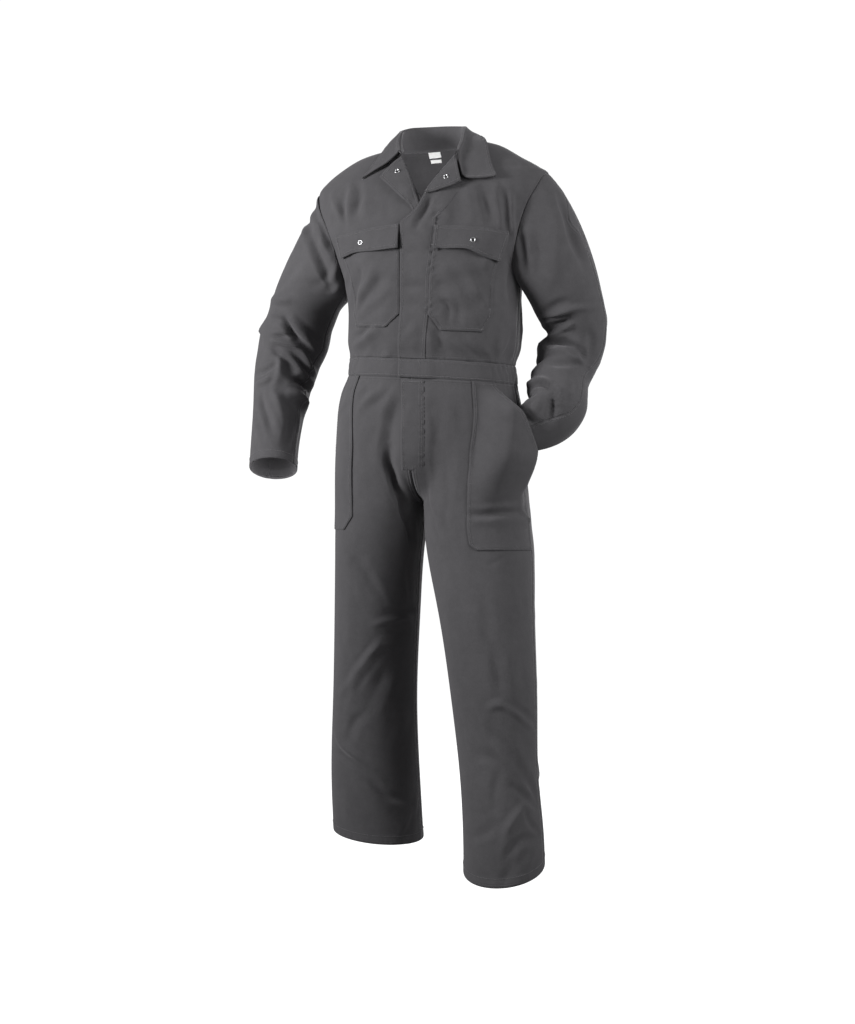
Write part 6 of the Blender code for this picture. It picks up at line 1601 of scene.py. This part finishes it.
for side, name, fam in ((+1, "left", "S"), (-1, "right", "Z")):
    for under, which, step in ((False, "upper", 0.0044), (True, "under", 0.0050)):
        S = sleeve_surface(side, under)
        rs = samples(S, 0, 0, SLEEVE_END[side], 0.2, 0.8, step, (0.001, 0.0025),
                     (0.001, 0.0025, 0.016, 0.018))
        cs = samples(S, 1, 0, 1, 0.05, 0.5, step, (0.001, 0.0025), (0.001, 0.0025))

        def cuffed(R, C, D):
            w = 1 - smooth((D["T"] - 0.0175)/0.0022)
            return 0.0006*w - 0.0005*np.exp(-((D["T"] - 0.0180)/0.0018)**2)
        cloth("sleeve_%s_%s" % (name, which), S, rs, cs, family=fam, sewn="LRB", free="T",
              extra=cuffed)


# ------------------------------------------------------------------- lapels
def on_trunk(x, z):
    k = np.full(x.shape, 0.3)
    for _ in range(3):
        cx = TRUNK("cx", k)
        a, b = np.zeros(x.shape), np.full(x.shape, NECK_RUN)
        for _ in range(32):
            k = (a + b)/2
            less = TRUNK("z", k) + TRUNK("tilt", k)*(x - cx) < z
            a, b = np.where(less, k, a), np.where(less, b, k)
    lo, hi = np.full(x.shape, -90.0), np.full(x.shape, 90.0)
    for _ in range(32):
        m = (lo + hi)/2
        less = trunk(m, k)[..., 0] < x
        lo, hi = np.where(less, m, lo), np.where(less, hi, m)
    return trunk(m, k), normals(trunk, m, k, 0.4, 0.002, 1.0)


for side, name in ((+1, "left"), (-1, "right")):
    T = LAPEL[side]

    def S(t, a, side=side, T=T):
        t, a = np.broadcast_arrays(np.asarray(t, float), np.asarray(a, float))
        x = T("roll_x", t)*(1-a) + T("edge_x", t)*a
        z = T("roll_z", t)*(1-a) + T("edge_z", t)*a
        if side < 0:                     # the foot slips under the left front
            x, z = x + 0.060*np.maximum(0.08 - t, 0), z - 0.140*np.maximum(0.08 - t, 0)
        off = ((LIFT if side > 0 else 0.0) + 0.0011 + 0.0019*np.minimum(1, 5*t + (side > 0))
               + PATCH/2 + 0.0045*np.sin(pi*a)*np.minimum(1, 3*t)
               + T("stand", t)*a)
        P, N = on_trunk(x, z)
        return P + N*off[..., None], N
    rs = edged(30, 0.11, (0.0008, 0.002))
    cs = edged(18, 0.06, (0.0008, 0.002))
    cloth("lapel_" + name, S, rs, cs, thick=PATCH, family="T", sewn="", free="LRBT", hem=0.0065)


# ------------------------------------------------------------------- collar
def collar(v, t):
    v, t = np.broadcast_arrays(np.asarray(v, float), np.asarray(t, float))
    b = np.stack([COLLAR("base_" + n, t) for n in "xyz"], -1)
    f = np.stack([COLLAR("fold_" + n, t) for n in "xyz"], -1)
    e = np.stack([COLLAR("edge_" + n, t) for n in "xyz"], -1)
    rise = unit(f - b)
    out = unit((e - b)*np.array([1, 1, 0.0]))
    q = np.clip(v/0.36, 0, 1)[..., None]
    deep = smooth((0.5 - np.abs(t - 0.5) - 0.04)/0.14)[..., None]     # sewn in behind the neckline
    low = b - rise*0.0125*deep - out*0.0035*deep
    stand = low + (f - low)*q
    a = (np.clip((v - 0.36)/0.12, 0, 1)*pi)[..., None]
    r = 0.0035
    roll = f + out*r*(1 - np.cos(a)) + rise*r*np.sin(a)
    w = np.clip((v - 0.48)/0.52, 0, 1)[..., None]
    start = f + out*2*r
    leaf = start + (e - start)*w + (unit(np.cross(np.cross(e - start, out), e - start)) * 0.004
                                    * np.sin(pi*w))
    droop = 1 - np.abs(w - 0.32)**1.5/np.where(w < 0.32, 0.32, 0.68)**1.5
    leaf = leaf + np.array([0, -0.45, -1.0])*droop*COLLAR("sag", t)[..., None]
    tip = smooth((t - 0.90)/0.08)[..., None]*droop                   # the left point's foot hangs fuller
    leaf = leaf + np.array([-0.0120, -0.0040, -0.0080])*tip
    return np.where(v[..., None] < 0.36, stand, np.where(v[..., None] < 0.48, roll, leaf))


def collar_surface(t, v):
    P = collar(v, t)
    N = np.cross(collar(v, np.clip(t + 0.004, 0, 1)) - collar(v, np.clip(t - 0.004, 0, 1)),
                 collar(np.clip(v + 0.006, 0, 1), t) - collar(np.clip(v - 0.006, 0, 1), t))
    return P, unit(N)


rs = edged(110, 0.46, (0.0008, 0.002))
vs = np.concatenate([np.linspace(0, 0.36, 9)[:-1], np.linspace(0.36, 0.48, 7)[:-1],
                     np.linspace(0.48, 0.965, 14), [0.983, 1.0]])
cloth("collar", collar_surface, rs, vs, out=0.0009, thick=0.0018, family="none", sewn="",
      free="BTR", hem=0.0065)


# ------------------------------------------------------------ snaps, labels
def between(node, r, c):
    P, N = PIECES[node]["P"], PIECES[node]["N"]
    i, j = int(round(r*(P.shape[0] - 1))), int(round(c*(P.shape[1] - 1)))
    return P[i, j], unit(N[max(0, i-2):i+3, max(0, j-2):j+3].mean((0, 1)))


def snap(name, c, n):
    """Open ring snap: a rounded metal ring pressed into the cloth, a small dome inside."""
    n = unit(n)
    a = unit(np.cross(n, (0.0, 0.0, 1.0)))
    b = np.cross(n, a)
    prof = [(0.0, 0.0004), (0.0009, 0.0004), (0.0017, 0.0002), (0.0024, 0.0000), (0.0029, 0.0001),
            (0.0033, 0.0008), (0.0039, 0.0014), (0.0046, 0.0013), (0.0051, 0.0007), (0.0053, 0.0),
            (0.0053, -0.0006)]
    m = 40
    V = [c + n*prof[0][1]]
    for r, h in prof[1:]:
        for i in range(m):
            t = 2*pi*i/m
            V.append(c + (a*np.cos(t) + b*np.sin(t))*r + n*h)
    tris = [(0, 1 + i, 1 + (i + 1) % m) for i in range(m)]
    quads = []
    for k in range(len(prof) - 2):
        o = 1 + k*m
        for i in range(m):
            j = (i + 1) % m
            quads.append((o + i, o + m + i, o + m + j, o + j))
    ob = mesh("ring_" + name, np.array(V), quads, None, None, METAL, tris)
    ob.data.materials.append(PIT)
    for poly in ob.data.polygons:
        if np.linalg.norm(np.array(poly.center) - c) < 0.0030:
            poly.material_index = 1
    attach(ob, "root")
    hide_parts(name)


for name, node, r, c in (("snap_flap_left", "chest_flap_left", 0.42, 0.44),
                         ("snap_flap_right", "chest_flap_right", 0.42, 0.42),
                         ("snap_lapel_left", "lapel_left", 0.60, 0.55),
                         ("snap_lapel_right", "lapel_right", 0.80, 0.45)):
    P, N = between(node, r, c)
    snap(name, P + N*0.0004, N)

for name, x0, x1, z0, z1 in (("label_main", -0.0235, 0.0015, -0.0035, 0.0080),
                             ("label_size", -0.0220, 0.0005, -0.0150, -0.0065)):
    X, Z = np.meshgrid(np.linspace(x0, x1, 18), np.linspace(z0, z1, 12))
    k = np.interp(Z, TRUNK.c["z"][0], TRUNK.k)
    t = 180 - np.degrees(np.arcsin(X/TRUNK("width", k)))
    N = -normals(trunk, t, k, 0.4, 0.002, 1.0)
    P = trunk(t, k) + N*(CLOTH + 0.0012) + N*(0.0004*np.sin(X*400 + Z*300))[..., None]
    top, low = P + N*0.0005, P
    r, c = P.shape[:2]
    n = r*c
    i = np.arange(n).reshape(r, c)
    Q = np.stack([i[:-1, :-1].ravel(), i[:-1, 1:].ravel(), i[1:, 1:].ravel(), i[1:, :-1].ravel()], 1)
    ring = np.concatenate([i[0, :-1], i[:-1, -1], i[-1, :0:-1], i[:0:-1, 0]])
    rim = np.stack([ring, ring + n, np.roll(ring, -1) + n, np.roll(ring, -1)], 1)
    ob = mesh("tape_" + name, np.concatenate([top.reshape(-1, 3), low.reshape(-1, 3)]),
              np.concatenate([Q, Q[:, ::-1] + n, rim]), None, None, TAPE)
    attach(ob, "root")
    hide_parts(name)


# ------------------------------------------------------------------ stitching
for name in ("left", "right"):
    stitch(along("chest_flap_" + name, "T", 0.0055, 0.03, 0.97))
    stitch(along("chest_flap_" + name, "B", 0.0062, 0.05, 0.95))
    stitch(along("chest_flap_" + name, "L", 0.0060, 0.10, 0.96))
    stitch(along("chest_flap_" + name, "R", 0.0060, 0.10, 0.96))
    for edge in "LRB":
        stitch(along("chest_pocket_" + name, edge, 0.0058, 0.04, 0.97))
for edge, a, b in (("L", 0.01, 0.94), ("R", 0.02, 0.86)):
    stitch(along("placket", edge, 0.0060, a, b))
for edge, d in (("L", 0.0060), ("R", 0.0060), ("R", 0.0105)):
    stitch(along("fly", edge, d, 0.04, 0.96))
for name in ("lapel_left", "lapel_right"):
    stitch(along(name, "R", 0.0060, 0.10, 0.94))
    stitch(along(name, "T", 0.0060, 0.08, 0.90))
stitch(along("collar", "R", 0.0062, 0.02, 0.98))
for name in ("front_left", "front_right", "back"):
    for d in (0.0045, 0.0330):
        stitch(along("waistband_" + name, "B", d, 0.02, 0.98))
for d in (0.0060, 0.0455):
    stitch(along("waistband_front_left", "L", d, 0.06, 0.94))
sew("stitches_bodice", THREAD)

for name in ("left", "right"):
    for edge, d in (("L", 0.0058), ("B", 0.0058), ("R", 0.0058), ("R", 0.0110)):
        stitch(along("hip_pocket_" + name, edge, d, 0.03, 0.97))
    for which in ("front", "back"):
        stitch(along("trouser_%s_%s" % (which, name), "T", 0.0175, 0.005, 0.995))
    for edge, d in (("L", 0.0045), ("R", 0.0045)):
        stitch(along("trouser_back_" + name, edge, d, 0.01, 0.985))
    stitch(along("trouser_front_" + name, "L", 0.0045, 0.06, 0.985))
    stitch(along("trouser_front_" + name, "L", 0.0095, 0.06, 0.985))
sew("stitches_trousers", THREAD)

for name in ("left", "right"):
    for which in ("upper", "under"):
        stitch(along("sleeve_%s_%s" % (name, which), "T", 0.0165, 0.01, 0.99))
    for edge in "LR":
        stitch(along("sleeve_%s_under" % name, edge, 0.0045, 0.01, 0.97))
stitch(along("back", "T", 0.0045, 0.01, 0.99))
sew("stitches_sleeves", THREAD)

# the short close bar across the foot of the fly
P, N = along("fly", "B", 0.0050, 0.10, 0.90)
for k in (-0.0007, 0.0, 0.0007):
    stitch((P + np.array([0, 0, k]), N), pitch=0.0016, length=0.0015, r=0.00038)
sew("stitches_bar", THREAD)



# ------------------------------------------------------- floor, light, camera
bpy.ops.mesh.primitive_plane_add(size=60, location=(0, 0, -1.50))
floor = bpy.context.object
floor.name = "floor"
fm = bpy.data.materials.new("floor_white")
g = Graph(fm)
o_, b_ = g.n("ShaderNodeOutputMaterial"), g.n("ShaderNodeBsdfPrincipled")
b_.inputs["Base Color"].default_value = (0.30, 0.30, 0.30, 1)
b_.inputs["Roughness"].default_value = 0.9
b_.inputs["Specular IOR Level"].default_value = 0.0
b_.inputs["Emission Color"].default_value = (1, 1, 1, 1)
b_.inputs["Emission Strength"].default_value = 0.97
g.link(b_.outputs[0], o_.inputs[0])
floor.data.materials.append(fm)
floor.visible_diffuse = False
floor.visible_glossy = False

AMBIENT = 0.205
world = bpy.data.worlds.new("studio")
bpy.context.scene.world = world
world.use_nodes = True
wt = world.node_tree
bg = wt.nodes["Background"]
bg.inputs[0].default_value = (1, 1, 1, 1)
path = wt.nodes.new("ShaderNodeLightPath")
amount = wt.nodes.new("ShaderNodeMapRange")      # white to look at, dimmer as a light
amount.inputs["To Min"].default_value = AMBIENT
amount.inputs["To Max"].default_value = 1.05
wt.links.new(path.outputs["Is Camera Ray"], amount.inputs["Value"])
wt.links.new(amount.outputs[0], bg.inputs[1])


def lamp(name, where, at, size, power):
    from mathutils import Vector
    d = bpy.data.lights.new(name, "AREA")
    d.shape = "DISK"
    d.size = size
    d.energy = power
    o = bpy.data.objects.new(name, d)
    bpy.context.scene.collection.objects.link(o)
    o.location = where
    o.visible_camera = False
    o.rotation_mode = "QUATERNION"
    o.rotation_quaternion = (Vector(at) - Vector(where)).to_track_quat("-Z", "Y")


RIGHT = np.array([np.cos(radians(18)), np.sin(radians(18)), 0])
BACKV = np.array([np.sin(radians(18)), -np.cos(radians(18)), 0])


def place(right, toward, z):
    return tuple(RIGHT*right + BACKV*toward + np.array([0, 0, z]))


lamp("key", place(-1.80, 0.85, 0.0), (0, 0, -0.38), 0.6, 50)
lamp("fill", place(1.55, 1.20, 0.25), (0, 0, -0.3), 1.3, 31)
lamp("rear", place(0.9, -2.6, 0.3), (0, 0, -0.6), 2.0, 48)
lamp("neck", (0.0, -0.050, -0.095), (0.0, 0.080, -0.030), 0.05, 0.20)
lamp("cuff", (-0.319, -0.050, -0.690), (-0.319, -0.010, -0.600), 0.04, 0.085)

cam = bpy.data.cameras.new("camera")
cam.sensor_width = 36
cam.lens = 79.1
co = bpy.data.objects.new("camera", cam)
bpy.context.scene.collection.objects.link(co)
co.location = place(-0.007, 4.5, -0.725)
co.rotation_euler = (radians(90), 0, radians(18))
bpy.context.scene.camera = co
bpy.context.scene.view_settings.view_transform = "Standard"
bpy.context.scene.view_settings.look = "None"
